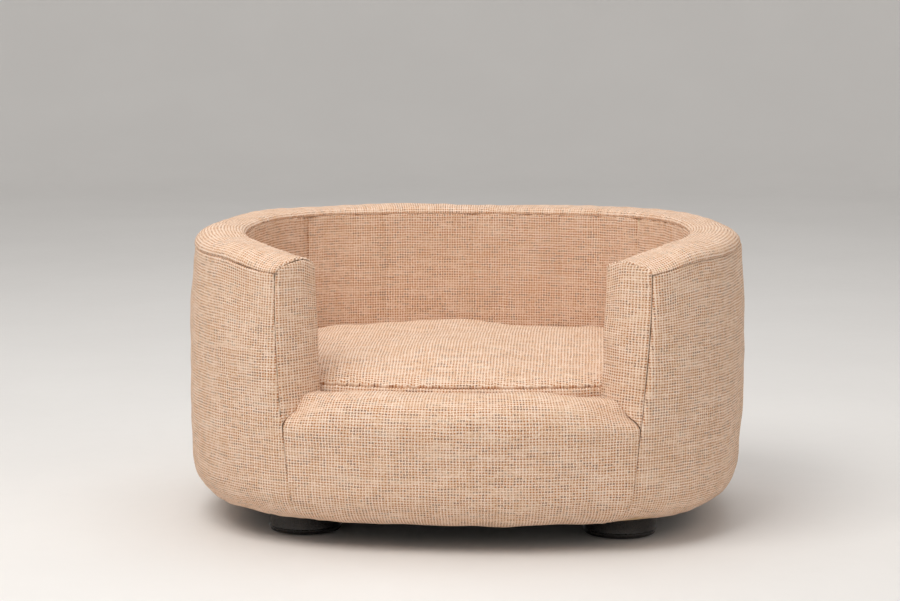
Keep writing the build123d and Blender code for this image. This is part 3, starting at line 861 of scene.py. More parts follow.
sill_face = inner_edge(sill_section[2:-1], FOAM_GAP)
sill_face = sill_face[sill_face[:, 1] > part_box("sill_foam")[0][2]]
rail_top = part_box("front_rail")[1][2]
back_of_sill = [(WALL - 0.0045, rail_top), (SKIN_INSET, rail_top), (SKIN_INSET, sill_face[0, 1])]
sill_loop = np.array([*sill_face, *back_of_sill])
inset = sill_loop[:, 0][None, :]
height = sill_loop[:, 1][None, :]
foam_right = arm_run(inset, height, "right") - 0.004
foam_left = -whole_run - arm_run(inset, height, "left") + 0.004
share = np.linspace(0.0, 1.0, 61)[:, None]
run = foam_left + (foam_right - foam_left) * share
gap = np.minimum(run - foam_left, foam_right - run)
inset = inset + 0 * run
height = height + 0 * run
turned = np.arctan2(height - (SILL_Z - SILL_FRONT), SILL_FRONT - inset)
cut = shoulder_cut(inset, height) * (1.0 - smooth(0.0, SHOULDER_REACH + 0.01, gap))
x, y = plan(theta_of(run), inset + cut * np.cos(turned))
sunk = 1.0 - smooth(0.0, END_REACH, foam_right - run)
sunk = END_DROP["right"] * sunk + END_DROP["left"] * (1.0 - smooth(0.0, END_REACH, run - foam_left))
z = height - cut * np.sin(turned) - sunk * smooth(SILL_Z - 0.05, SILL_Z - 0.008, height)
sill_foam = closed_body("sill_foam_bolster", np.stack([x, y, z], axis=2))
print("foam bodies:", outer_foam.name, inner_foam.name, rim_foam.name, sill_foam.name)

# %% Foam of the arm ends
ARM_PAD = 0.0175
foam_heights = np.linspace(SILL_Z - 0.002, RIM_Z - 0.0075, 26)
arm_foams = {}
for side in ("right", "left"):
    rings = []
    for z in foam_heights:
        at = np.array([min(z, INNER_SEAM_Z - 0.004)])
        stops = [arm_path(at, stop)[:2] for stop in across_panel[1:19:2]]
        ring = np.array([(float(into[0]) + 0.006, float(inset[0])) for into, inset in stops])
        top_pull = float(rounded_off(RIM_Z - z, TOP_ROUND))
        base = float(wall_inset(np.array([min(z, OUTER_SEAM_Z)]))[0]) + FOAM_GAP + top_pull
        ring[:, 0] += top_pull
        ring[:, 1] = np.clip(ring[:, 1], base, NEST_INSET - 0.006 - top_pull)
        back = [(ARM_PAD + top_pull, ring[-1, 1]), (ARM_PAD + top_pull, ring[0, 1])]
        rings.append(np.concatenate([ring, back]))
    rings = np.array(rings)
    ring_z = np.repeat(foam_heights[:, None], rings.shape[1], axis=1)
    run = arm_run(rings[..., 1], ring_z, side)
    run = run + rings[..., 0] * CORNER_ARC / (CORNER_ARC - rings[..., 1])
    x, y = plan(theta_of(run), rings[..., 1])
    pad_z = ring_z - shoulder_drop(rings[..., 1], ring_z)
    pad = drooped(lip_lowered(np.stack([x, y, pad_z], axis=2), rings[..., 1], rings[..., 0]))
    if side == "left":
        pad = pad * np.array([-1.0, 1.0, 1.0])
    arm_foams[side] = closed_body("arm_foam_pad_" + side, pad)
print("arm foam:", len(arm_foams["left"].data.polygons), "faces each")

# %% [markdown]
# ## The cushion
# The loose cushion is a boxed pillow: a top, a bottom and a band between them, with soft filling
# that domes the top. A cloth simulation with air pressure gives it the true tension of a filled
# bag. Its seams are pinned, the swelling is capped, and a clean grid is then laid on the result,
# so that the seams, the small puckers beside them and the weave come out sharp.

# %% Cushion outline
CUSHION_INSET = HALF_WIDTH - pad_high[0]
CUSHION_LOW = pad_low[2]
CUSHION_HIGH = pad_high[2]
TOP_SEAM_Z = CUSHION_HIGH - 0.0225
BOTTOM_SEAM_Z = CUSHION_LOW + 0.007
SEAM_PULL = 0.004
cushion_theta = np.linspace(0.0, 2 * pi, 361)[:-1]
edge_x, edge_y = plan(cushion_theta, CUSHION_INSET)
edge_run = np.concatenate([[0.0], np.cumsum(np.hypot(np.diff(edge_x), np.diff(edge_y)))])
edge_length = float(edge_run[-1] + hypot(edge_x[0] - edge_x[-1], edge_y[0] - edge_y[-1]))
band_columns = 340
wanted = np.linspace(0.0, edge_length, band_columns, endpoint=False)
around = np.interp(wanted, np.append(edge_run, edge_length), np.append(cushion_theta, 2 * pi))
print(f"cushion seam length {1000 * edge_length:.0f} mm")


def cushion_rows():
    """Rows of the cushion from the middle of its base to the middle of its top."""
    rows = []
    spread = np.array([0.0, 0.12, 0.25, 0.38, 0.50, 0.61, 0.71, 0.79, 0.855, 0.905, 0.94, 0.965, 0.98, 0.99, 1.0])
    for share in spread:
        drop = smooth(0.80, 1.0, share)
        rows.append(("base", share, 0.0, CUSHION_LOW + (BOTTOM_SEAM_Z - CUSHION_LOW) * drop**2))
    band = stations(TOP_SEAM_Z - BOTTOM_SEAM_Z, 0.0045)
    for rise in band:
        t = rise / band[-1]
        bulge = 1.0 - (2 * t - 1) ** 4
        rows.append(("band", 1.0, bulge, BOTTOM_SEAM_Z + rise))
    top = 1.0 - np.concatenate([SEAM_STEPS[:-1] / 0.19, np.linspace(0.04, 1.0, 46)])
    for share in top:
        dome = 1.0 - share**2
        shoulder_rise = 0.62 * (1.0 - np.clip((share - 0.80) / 0.20, 0, 1) ** 2.2) + 0.38 * dome
        rows.append(("top", share, 0.0, TOP_SEAM_Z + (CUSHION_HIGH - TOP_SEAM_Z) * shoulder_rise))
    return rows


rows = cushion_rows()
kinds = [row[0] for row in rows]
pull_back = SEAM_PULL
points = []
for kind, share, bulge, z in rows:
    edge_inset = CUSHION_INSET + pull_back * (1.0 - bulge)
    x, y = plan(around, edge_inset)
    points.append(np.stack([x * share, y * share, np.full(x.shape, z)], axis=1))
points = np.array(points)
print("cushion grid:", points.shape[0], "x", points.shape[1])


def ringed_mesh(name, rings):
    """A closed mesh from rings stacked pole to pole; the first and last ring are single points."""
    count, size = rings.shape[:2]
    body = rings[1:-1].reshape(-1, 3)
    vertices = np.concatenate([rings[0, :1], body, rings[-1, :1]])
    index = 1 + np.arange((count - 2) * size).reshape(count - 2, size)
    following = np.roll(index, -1, axis=1)
    walls = np.stack([index[:-1], following[:-1], following[1:], index[1:]], axis=-1).reshape(-1, 4)
    low_pole = [[0, int(b), int(a)] for a, b in zip(index[0], following[0])]
    last = len(vertices) - 1
    high_pole = [[last, int(a), int(b)] for a, b in zip(index[-1], following[-1])]
    mesh = bpy.data.meshes.new(name)
    mesh.from_pydata(vertices.tolist(), [], low_pole + walls.tolist() + high_pole)
    mesh.shade_smooth()
    piece = bpy.data.objects.new(name, mesh)
    bpy.context.collection.objects.link(piece)
    return piece


# %% Inflate a coarse copy
PRESSURE = 4.0
FRAMES = 20
MOST_SWELL = 0.009
VOXEL = 0.006


def inflate(rings):
    """Fills the cushion with air: returns a lookup of its swollen surface."""
    shape = ringed_mesh("cushion_sim", rings)
    remesh = shape.modifiers.new("even_mesh", "REMESH")
    remesh.mode = "VOXEL"
    remesh.voxel_size = VOXEL
    graph = bpy.context.evaluated_depsgraph_get()
    even = bpy.data.meshes.new_from_object(shape.evaluated_get(graph))
    shape.modifiers.clear()
    shape.data = even
    start = np.empty(len(even.vertices) * 3)
    even.vertices.foreach_get("co", start)
    start = start.reshape(-1, 3)
    pins = shape.vertex_groups.new(name="seams")
    rim_inset = np.abs(np.abs(start[:, 2] - TOP_SEAM_Z)) < 0.0045
    rim_inset |= np.abs(start[:, 2] - BOTTOM_SEAM_Z) < 0.0045
    heading = np.arctan2(start[:, 1], start[:, 0])
    far = np.hypot(start[:, 0], start[:, 1])
    outline_far = np.hypot(*plan(around, CUSHION_INSET))
    outline_heading = np.arctan2(*plan(around, CUSHION_INSET)[::-1])
    order = outline_heading.argsort()
    reach = np.interp(heading, outline_heading[order], outline_far[order], period=2 * pi)
    held = rim_inset & (far > reach - 0.012) | (start[:, 2] < CUSHION_LOW + 0.003)
    pins.add([int(i) for i in np.flatnonzero(held)], 1.0, "REPLACE")
    cloth = shape.modifiers.new("air", "CLOTH")
    settings = cloth.settings
    settings.vertex_group_mass = "seams"
    settings.use_pressure = True
    settings.uniform_pressure_force = PRESSURE
    settings.effector_weights.gravity = 0.0
    settings.quality = 5
    cloth.collision_settings.use_collision = False
    scene = bpy.context.scene
    for frame_number in range(1, FRAMES + 1):
        scene.frame_set(frame_number)
    graph = bpy.context.evaluated_depsgraph_get()
    swollen = bpy.data.meshes.new_from_object(shape.evaluated_get(graph))
    end = np.empty(len(swollen.vertices) * 3)
    swollen.vertices.foreach_get("co", end)
    move = end.reshape(-1, 3) - start
    length = np.linalg.norm(move, axis=1, keepdims=True)
    move *= np.minimum(1.0, MOST_SWELL / np.maximum(length, 1e-9))
    print(f"cushion swells {1000 * length.max():.1f} mm at most, capped at {1000 * MOST_SWELL:.0f}")
    swollen.vertices.foreach_set("co", (start + move).ravel())
    swollen.update()
    scene.frame_set(1)
    lookup = BVHTree.FromPolygons(
        [v.co.copy() for v in swollen.vertices], [tuple(f.vertices) for f in swollen.polygons]
    )
    bpy.data.objects.remove(shape)
    bpy.data.meshes.remove(swollen)
    return lookup


def laid_on(rings, lookup):
    """The rings moved onto the nearest points of a surface, then evened out."""
    flat = rings.reshape(-1, 3)
    laid = np.array([tuple(lookup.find_nearest(Vector(p))[0]) for p in flat]).reshape(rings.shape)
    change = laid - rings
    for _ in range(6):
        change[1:-1] = 0.5 * change[1:-1] + 0.25 * (change[:-2] + change[2:])
        change = 0.5 * change + 0.25 * (np.roll(change, 1, axis=1) + np.roll(change, -1, axis=1))
    return rings + change


points = laid_on(points, inflate(points))

# %% Finish the cushion's cloth
CUSHION_PUCKER = 0.0009
step_up = np.linalg.norm(np.diff(points, axis=0), axis=2).mean(axis=1)
travel = np.concatenate([[0.0], np.cumsum(step_up)])
kinds = np.array(kinds)
low_seam = travel[np.flatnonzero(kinds == "band")[0]]
high_seam = travel[np.flatnonzero(kinds == "band")[-1]]
from_low = np.abs(travel - low_seam)[:, None]
from_high = np.abs(travel - high_seam)[:, None]
run = wanted[None, :]
normals = np.cross(
    np.roll(points, -1, axis=1) - np.roll(points, 1, axis=1), np.gradient(points, axis=0)
)
normals /= np.maximum(np.linalg.norm(normals, axis=2, keepdims=True), 1e-12)
relief = seam_relief(from_high, run, 81, depth=0.0026, pucker=CUSHION_PUCKER)
relief = relief + seam_relief(from_low, run, 82, depth=0.0022, pucker=0.0006)
on_top = (kinds == "top")[:, None]
x, y = points[..., 0], points[..., 1]
centre_share = smooth(0.0, 0.05, from_high)
relief = relief + 0.0022 * ripple(83, x, y, longest=0.26, shortest=0.11) * on_top * centre_share
relief = relief + 0.0007 * ripple(84, x, y, longest=0.08, shortest=0.03) * on_top * centre_share
band_share = smooth(0.0, 0.012, from_high) * smooth(0.0, 0.012, from_low)
relief = relief + 0.0012 * ripple(85, run, longest=0.12, shortest=0.04) * (kinds == "band")[:, None] * band_share
points = points + normals * relief[..., None]
edge = plan(around, CUSHION_INSET - 0.0008)
far = np.hypot(points[..., 0], points[..., 1])
limit = np.hypot(*edge)[None, :]
points[..., :2] *= np.minimum(1.0, limit / np.maximum(far, 1e-9))[..., None]
points[..., 2] = np.maximum(points[..., 2], CUSHION_LOW + 0.0002)
cushion = ringed_mesh("cushion_cloth", points)
band_rows = np.flatnonzero(kinds == "band")
cushion_seam_rings = [points[band_rows[0]], points[band_rows[-1]]]
print(f"cushion top at {1000 * points[..., 2].max():.1f} mm, packed {1000 * CUSHION_HIGH:.1f} mm")

cloth = np.zeros(points.shape[:2] + (2,))
for row, kind in enumerate(kinds):
    if kind == "band":
        cloth[row] = np.stack([wanted, np.full(wanted.shape, travel[row])], axis=1)
    else:
        cloth[row] = points[row, :, :2]
vertex_cloth = np.concatenate([cloth[0, :1], cloth[1:-1].reshape(-1, 2), cloth[-1, :1]])
band_first = 1 + (np.flatnonzero(kinds == "band")[0] - 1) * band_columns
band_last = 1 + np.flatnonzero(kinds == "band")[-1] * band_columns
layer = cushion.data.uv_layers.new(name="cloth")
loop_vertex = np.empty(len(cushion.data.loops), dtype=int)
cushion.data.loops.foreach_get("vertex_index", loop_vertex)
loop_cloth = vertex_cloth[loop_vertex]
starts = np.empty(len(cushion.data.polygons), dtype=int)
totals = np.empty(len(cushion.data.polygons), dtype=int)
cushion.data.polygons.foreach_get("loop_start", starts)
cushion.data.polygons.foreach_get("loop_total", totals)
ring_of = np.clip((loop_vertex - 1) // band_columns + 1, 0, len(kinds) - 1)
ring_of[loop_vertex == 0] = 0
band_rings = np.flatnonzero(kinds == "band")
face_of_loop = np.repeat(np.arange(len(starts)), totals)
lowest_ring = np.full(len(starts), 10**6)
highest_ring = np.zeros(len(starts), dtype=int)
np.minimum.at(lowest_ring, face_of_loop, ring_of)
np.maximum.at(highest_ring, face_of_loop, ring_of)
flat_face = (highest_ring <= band_rings[0]) | (lowest_ring >= band_rings[-1])
vertex_flat = np.concatenate([points[0, :1, :2], points[1:-1, :, :2].reshape(-1, 2), points[-1, :1, :2]])
use_flat = flat_face[face_of_loop]
loop_cloth = np.where(use_flat[:, None], vertex_flat[loop_vertex], loop_cloth)
seam_wrap = ~use_flat & (loop_cloth[:, 0] < edge_length * 0.02)
last_column = np.zeros(len(starts), dtype=bool)
np.logical_or.at(last_column, face_of_loop, ~use_flat & (loop_cloth[:, 0] > edge_length * 0.98))
loop_cloth[seam_wrap & last_column[face_of_loop], 0] += edge_length
layer.data.foreach_set("uv", loop_cloth.ravel())

# %% Pocket for the zip
POCKET_WIDTH = 0.026
POCKET_END = 0.003
tape_low, tape_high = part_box("zip_tape")
pocket_low = Vector((tape_low[0] - POCKET_END, (tape_low[1] + tape_high[1] - POCKET_WIDTH) / 2, CUSHION_LOW - 0.02))
pocket_high = Vector((tape_high[0] + POCKET_END, (tape_low[1] + tape_high[1] + POCKET_WIDTH) / 2, tape_high[2]))
pocket_body = bmesh.new()
bmesh.ops.create_cube(pocket_body, size=1.0)
for vertex in pocket_body.verts:
    vertex.co = Vector([pocket_low[i] if vertex.co[i] < 0 else pocket_high[i] for i in range(3)])
upper_edges = [e for e in pocket_body.edges if min(v.co.z for v in e.verts) > CUSHION_LOW or e.verts[0].co.z != e.verts[1].co.z]
bmesh.ops.bevel(pocket_body, geom=upper_edges, offset=0.003, segments=3, affect="EDGES")
lengths = pocket_body.loops.layers.uv.new("cloth")
for face in pocket_body.faces:
    upright = abs(face.normal.z) < 0.5
    for loop in face.loops:
        place = loop.vert.co
        loop[lengths].uv = (place.x + place.y, place.z) if upright else (place.x, place.y)
pocket_mesh = bpy.data.meshes.new("zip_pocket")
pocket_body.to_mesh(pocket_mesh)
pocket_body.free()
pocket = bpy.data.objects.new("zip_pocket", pocket_mesh)
bpy.context.collection.objects.link(pocket)
cut_out = cushion.modifiers.new("pocket", "BOOLEAN")
cut_out.operation = "DIFFERENCE"
cut_out.object = pocket
cut_out.solver = "EXACT"
carved = bpy.data.meshes.new_from_object(cushion.evaluated_get(bpy.context.evaluated_depsgraph_get()))
cushion.modifiers.clear()
cushion.data = carved
carved.shade_smooth()
bpy.data.objects.remove(pocket)
sharp = cushion.data.attributes.new("sharp_edge", "BOOLEAN", "EDGE")
body = bmesh.new()
body.from_mesh(carved)
sharp_edges = [len(e.link_faces) == 2 and e.calc_face_angle() > radians(50) and e.verts[0].co.z < tape_high[2] for e in body.edges]
body.free()
carved.attributes["sharp_edge"].data.foreach_set("value", sharp_edges)
print("cushion with its pocket:", len(carved.polygons), "faces")

# %% [markdown]
# ## Dust cover and feet
# A thin black cloth closes the underside. It is stapled round its edge and sags a little in the
# middle. The four feet are turned shapes: a slightly tapered wall, a soft edge and a small bead
# just above the floor.

# %% Dust cover
DUST_SAG = 0.0055
DUST_THICKNESS = 0.0006
dust_inset = HALF_WIDTH - dust_high[0]
dust_theta = np.linspace(0.0, 2 * pi, 161)[:-1]
dust_x, dust_y = plan(dust_theta, dust_inset)
shares = np.sin(np.linspace(0.0, pi / 2, 26))
rings = []
for share in shares:
    x = dust_x * share
    y = dust_y * share
    sag = DUST_SAG * (1 - share**2) ** 0.8
    waves = 0.0006 * ripple(91, x, y, longest=0.15, shortest=0.05) * (1 - share**4)
    scallop = 0.0005 * np.cos(28 * dust_theta + pi) * share**10
    rings.append(np.stack([x, y, dust_low[2] + 0.0002 - sag + waves - np.abs(scallop)], axis=1))
rings = np.array(rings)
lower = rings
upper = rings[::-1] + np.array([0.0, 0.0, DUST_THICKNESS])
dust = ringed_mesh("dust_cloth", np.concatenate([lower, upper]))
flat_steps = np.hypot(np.diff(dust_x, append=dust_x[0]), np.diff(dust_y, append=dust_y[0]))

# %% Feet
FOOT_CORNERS = [("front", "left"), ("front", "right"), ("rear", "left"), ("rear", "right")]
foot_low, foot_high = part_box("foot_front_right")
FOOT_TOP = (foot_high[0] - foot_low[0]) / 2
FOOT_FLOOR = FOOT_TOP - 0.0025
BEAD = 0.0012
pad_radius = (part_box("foot_pad_front_right")[1][0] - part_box("foot_pad_front_right")[0][0]) / 2
low_z, high_z = foot_low[2], foot_high[2]
EDGE = 0.0014
profile = [(pad_radius + 0.0004, low_z + 0.0035), (pad_radius + 0.0004, low_z + 0.0006), (pad_radius + 0.0010, low_z)]
profile += [(FOOT_FLOOR - EDGE, low_z)]
profile += [(FOOT_FLOOR - EDGE + EDGE * sin(a), low_z + EDGE - EDGE * cos(a)) for a in np.linspace(0.3, pi / 2, 5)]
bead_z = low_z + 0.004
profile += [(FOOT_FLOOR, bead_z - 0.0016)]
profile += [(FOOT_FLOOR + BEAD * cos(a) * 1.0, bead_z + 0.0012 * sin(a)) for a in np.linspace(-1.4, 1.4, 9)]
profile += [(FOOT_FLOOR + 0.0001, bead_z + 0.0017)]
profile += [(FOOT_TOP - 0.0010, high_z - 0.0035)]
profile += [(FOOT_TOP - 0.0016 + 0.0016 * cos(a), high_z - 0.0016 + 0.0016 * sin(a)) for a in np.linspace(0, pi / 2, 6)]
profile = np.array(profile)
turns = np.linspace(0.0, 2 * pi, 97)[:-1]
feet = {}
for depth_name, side_name in FOOT_CORNERS:
    name = f"foot_{depth_name}_{side_name}"
    low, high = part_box(name)
    centre = ((low[0] + high[0]) / 2, (low[1] + high[1]) / 2)
    rings = [np.tile([centre[0], centre[1], profile[0, 1]], (len(turns), 1))]
    for radius, z in profile:
        rings.append(np.stack([centre[0] + radius * np.cos(turns), centre[1] + radius * np.sin(turns), np.full(turns.shape, z)], 1))
    rings.append(np.tile([centre[0], centre[1], high_z], (len(turns), 1)))
    feet[name] = ringed_mesh(name + "_moulded", np.array(rings))
print("feet:", len(feet), "of", len(feet["foot_front_left"].data.polygons), "faces")

# %% [markdown]
# ## The woven cloth as a shader
# The cloth is a coarse plain weave of thick cream yarns. Between the yarns small holes show an
# orange-brown thread and painted shade, nearly black here and there, in short runs along a row. A node
# group draws the yarns from the cloth's own lengths, so one group serves the tub, the cushion and the deck.

# %% Words for wiring nodes
class Wiring:
    """Short words for adding nodes to one tree and joining them."""

    def __init__(self, tree):
        self.tree = tree

    def add(self, kind, **settings):
        node = self.tree.nodes.new(kind)
        for key, value in settings.items():
            setattr(node, key, value)
        return node

    def feed(self, socket, value):
        if isinstance(value, bpy.types.NodeSocket):
            self.tree.links.new(value, socket)
        else:
            socket.default_value = value

    def math(self, operation, *values):
        node = self.add("ShaderNodeMath", operation=operation)
        for socket, value in zip(node.inputs, values):
            self.feed(socket, value)
        return node.outputs[0]

    def noise(self, vector, scale, detail=2.0, roughness=0.5):
        node = self.add("ShaderNodeTexNoise")
        self.feed(node.inputs["Vector"], vector)
        self.feed(node.inputs["Scale"], scale)
        self.feed(node.inputs["Detail"], detail)
        self.feed(node.inputs["Roughness"], roughness)
        return node.outputs["Fac"]

    def dice(self, vector):
        node = self.add("ShaderNodeTexWhiteNoise", noise_dimensions="3D")
        self.feed(node.inputs["Vector"], vector)
        return node.outputs["Value"]

    def vector(self, x=0.0, y=0.0, z=0.0):
        node = self.add("ShaderNodeCombineXYZ")
        for socket, value in zip(node.inputs, (x, y, z)):
            self.feed(socket, value)
        return node.outputs[0]

    def split(self, vector):
        node = self.add("ShaderNodeSeparateXYZ")
        self.feed(node.inputs[0], vector)
        return node.outputs

    def spread(self, value, low, high, to_low=0.0, to_high=1.0):
        node = self.add("ShaderNodeMapRange", interpolation_type="SMOOTHSTEP")
        for name, given in zip(("Value", "From Min", "From Max", "To Min", "To Max"), (value, low, high, to_low, to_high)):
            self.feed(node.inputs[name], given)
        return node.outputs["Result"]

    def blend(self, share, first, second):
        node = self.add("ShaderNodeMix", data_type="RGBA")
        self.feed(node.inputs["Factor"], share)
        self.feed(node.inputs[6], first)
        self.feed(node.inputs[7], second)
        return node.outputs[2]


def new_group(name, inputs, outputs):
    """An empty shader group with named inputs and outputs, and its wiring."""
    group = bpy.data.node_groups.new(name, "ShaderNodeTree")
    for title, kind, value in inputs:
        socket = group.interface.new_socket(name=title, in_out="INPUT", socket_type=kind)
        if value is not None:
            socket.default_value = value
    for title, kind in outputs:
        group.interface.new_socket(name=title, in_out="OUTPUT", socket_type=kind)
    wiring = Wiring(group)
    return group, wiring, wiring.add("NodeGroupInput").outputs, wiring.add("NodeGroupOutput").inputs


# %% Weave group
weave_group, w, given, result = new_group(
    "basket weave",
    [
        ("Cloth", "NodeSocketVector", None),
        ("Yarn spacing", "NodeSocketFloat", 0.0032),
        ("Row spacing", "NodeSocketFloat", 0.0029),
        ("Yarn width", "NodeSocketFloat", 0.325),
    ],
    [
        ("Relief", "NodeSocketFloat"),
        ("Gap", "NodeSocketFloat"),
        ("Thread and shade pick", "NodeSocketFloat"),
        ("Tone", "NodeSocketFloat"),
    ],
)
wobble = w.add("ShaderNodeTexNoise")
w.feed(wobble.inputs["Vector"], given["Cloth"])
w.feed(wobble.inputs["Scale"], 55.0)
w.feed(wobble.inputs["Detail"], 1.0)
centred = w.add("ShaderNodeVectorMath", operation="SUBTRACT")
w.feed(centred.inputs[0], wobble.outputs["Color"])
w.feed(centred.inputs[1], (0.5, 0.5, 0.5))
scaled = w.add("ShaderNodeVectorMath", operation="SCALE")
w.feed(scaled.inputs[0], centred.outputs[0])
w.feed(scaled.inputs["Scale"], 0.0016)
moved = w.add("ShaderNodeVectorMath", operation="ADD")
w.feed(moved.inputs[0], given["Cloth"])
w.feed(moved.inputs[1], scaled.outputs[0])
place_u, place_v, _ = w.split(moved.outputs[0])
across = w.math("DIVIDE", place_u, given["Yarn spacing"])
rising = w.math("DIVIDE", place_v, given["Row spacing"])
column = w.math("ROUND", across)
row = w.math("ROUND", rising)


def yarn_profile(place, centre):
    """Round cross section of a yarn about its centre line."""
    off = w.math("DIVIDE", w.math("SUBTRACT", place, centre), given["Yarn width"])
    return w.math("SQRT", w.math("MAXIMUM", w.math("SUBTRACT", 1.0, w.math("MULTIPLY", off, off)), 0.0))


def sway(place, other):
    """Over and under: +1 on top of a crossing, -1 beneath it."""
    return w.math("MULTIPLY", w.math("COSINE", w.math("MULTIPLY", place, pi)), w.math("COSINE", w.math("MULTIPLY", other, pi)))


upright = w.math("MULTIPLY", yarn_profile(across, column), w.math("MULTIPLY_ADD", sway(rising, column), 0.36, 0.62))
level = w.math("MULTIPLY", yarn_profile(rising, row), w.math("MULTIPLY_ADD", sway(across, row), -0.36, 0.62))
relief_out = w.math("MAXIMUM", upright, level)
upright_on_top = w.math("GREATER_THAN", upright, level)
w.feed(result["Relief"], relief_out)
# Holes between the yarns: this pick sets the thread's orange-brown and painted shade that is nearly black, in short
# runs along a row.
gap_column = w.math("FLOOR", across)
gap_row = w.math("FLOOR", rising)
shifted = w.math("MULTIPLY_ADD", w.dice(w.vector(gap_row, 3.0)), 9.0, gap_column)
in_runs = w.dice(w.vector(w.math("FLOOR", w.math("DIVIDE", shifted, 3.0)), gap_row, 1.0))
single = w.dice(w.vector(gap_column, gap_row, 2.0))
w.feed(result["Thread and shade pick"], w.math("MULTIPLY_ADD", in_runs, 0.5, w.math("MULTIPLY", single, 0.5)))
bands = w.noise(w.vector(w.math("MULTIPLY", place_u, 22.0), w.math("MULTIPLY", place_v, 110.0)), 1.0, 1.0)
showing = w.spread(bands, 0.25, 0.55, 0.65, 1.0)
# Gap marks the holes between the yarns, where the hole colour with its painted shade goes.
w.feed(result["Gap"], w.math("MULTIPLY", w.spread(relief_out, 0.12, 0.74, 1.0, 0.0), showing))
level_tone = w.noise(w.vector(w.math("MULTIPLY", place_u, 30.0), w.math("MULTIPLY", row, 3.7)), 1.0, 2.0)
upright_tone = w.noise(w.vector(w.math("MULTIPLY", column, 4.3), w.math("MULTIPLY", place_v, 24.0), 5.0), 1.0, 2.0)
both = w.math("MULTIPLY", upright_tone, upright_on_top)
other = w.math("MULTIPLY", level_tone, w.math("SUBTRACT", 1.0, upright_on_top))
w.feed(result["Tone"], w.math("ADD", both, other))
print("weave group:", len(weave_group.nodes), "nodes")


# %% Woven materials
def new_material(name):
    """A material with its wiring and its Principled shader."""
    material = bpy.data.materials.new(name)
    material.use_nodes = True
    wiring = Wiring(material.node_tree)
    return material, wiring, material.node_tree.nodes["Principled BSDF"]


def woven(name, cream, tan, orange, hole_shade, spacing=(0.0032, 0.0029), own_lengths=True):
    """The coarse cloth: yarn colours, hole colours (the thread's orange-brown and painted shade) and relief from the
    weave group.
    """
    material, w, shader = new_material(name)
    if own_lengths:
        place = w.add("ShaderNodeUVMap", uv_map="cloth").outputs["UV"]
    else:
        place = w.add("ShaderNodeTexCoord").outputs["Object"]
    weave = w.add("ShaderNodeGroup", node_tree=weave_group)
    w.feed(weave.inputs["Cloth"], place)
    w.feed(weave.inputs["Yarn spacing"], spacing[0])
    w.feed(weave.inputs["Row spacing"], spacing[1])
    yarn = w.blend(w.spread(weave.outputs["Tone"], 0.30, 0.80, 0.0, 0.75), cream, tan)
    # Hole colour: the thread's orange-brown, and painted shade that is nearly black.
    thread_and_shade = w.blend(w.spread(weave.outputs["Thread and shade pick"], 0.50, 0.86), orange, hole_shade)
    seen = w.math("MULTIPLY", weave.outputs["Gap"], w.spread(weave.outputs["Thread and shade pick"], 0.05, 0.45, 0.55, 1.0))
    colour = w.blend(seen, yarn, thread_and_shade)
    cloudy = w.spread(w.noise(place, 9.0, 3.0), 0.3, 0.7, 0.0, 0.10)
    colour = w.blend(cloudy, colour, tan)
    w.feed(shader.inputs["Base Color"], colour)
    fibres = w.noise(place, 2600.0, 2.0, 0.6)
    w.feed(shader.inputs["Roughness"], w.spread(fibres, 0.2, 0.8, 0.80, 0.97))
    height = w.math("MULTIPLY_ADD", fibres, 0.18, weave.outputs["Relief"])
    bump = w.add("ShaderNodeBump")
    w.feed(bump.inputs["Height"], height)
    w.feed(bump.inputs["Distance"], 0.0007)
    w.feed(bump.inputs["Strength"], 0.5)
    w.feed(shader.inputs["Normal"], bump.outputs["Normal"])
    shader.inputs["Specular IOR Level"].default_value = 0.10
    shader.inputs["Sheen Weight"].default_value = 0.05
    shader.inputs["Sheen Roughness"].default_value = 0.45
    shader.inputs["Sheen Tint"].default_value = (1.0, 0.90, 0.80, 1.0)
    return material


CREAM = (0.920, 0.750, 0.620, 1.0)
TAN = (0.720, 0.485, 0.310, 1.0)
ORANGE = (0.420, 0.135, 0.018, 1.0)
# Painted shade for the holes between the yarns, nearly black.
HOLE_SHADE = (0.160, 0.040, 0.005, 1.0)
materials = {
    "tub_weave": woven("tub_weave", CREAM, TAN, ORANGE, HOLE_SHADE),
    "cushion_weave": woven("cushion_weave", CREAM, TAN, ORANGE, HOLE_SHADE),
    # The deck cloth's last colour is painted shade for its holes.
    "deck_cloth": woven("deck_cloth", (0.62, 0.50, 0.38, 1), (0.50, 0.38, 0.27, 1), (0.33, 0.2, 0.11, 1), (0.2, 0.12, 0.07, 1), (0.0012, 0.0012), False),
}

# %% [markdown]
# ## The other materials
# A mottling group gives every hard piece slightly uneven colour and gloss. Wood has stretched
# grain, plywood shows its plies by height, foam has fine cells, and the black plastic of the feet
# is glossy with a few dull scuffs.

# %% Mottling group and plain materials
mottle_group, w, given, result = new_group(
    "mottling",
    [("Place", "NodeSocketVector", None), ("Scale", "NodeSocketFloat", 40.0), ("Stretch", "NodeSocketVector", None)],
    [("Broad", "NodeSocketFloat"), ("Fine", "NodeSocketFloat")],
)
stretched = w.add("ShaderNodeVectorMath", operation="MULTIPLY")
w.feed(stretched.inputs[0], given["Place"])
w.feed(stretched.inputs[1], given["Stretch"])
w.feed(result["Broad"], w.noise(stretched.outputs[0], given["Scale"], 3.0))
finer = w.math("MULTIPLY", given["Scale"], 14.0)
w.feed(result["Fine"], w.noise(stretched.outputs[0], finer, 2.0, 0.6))


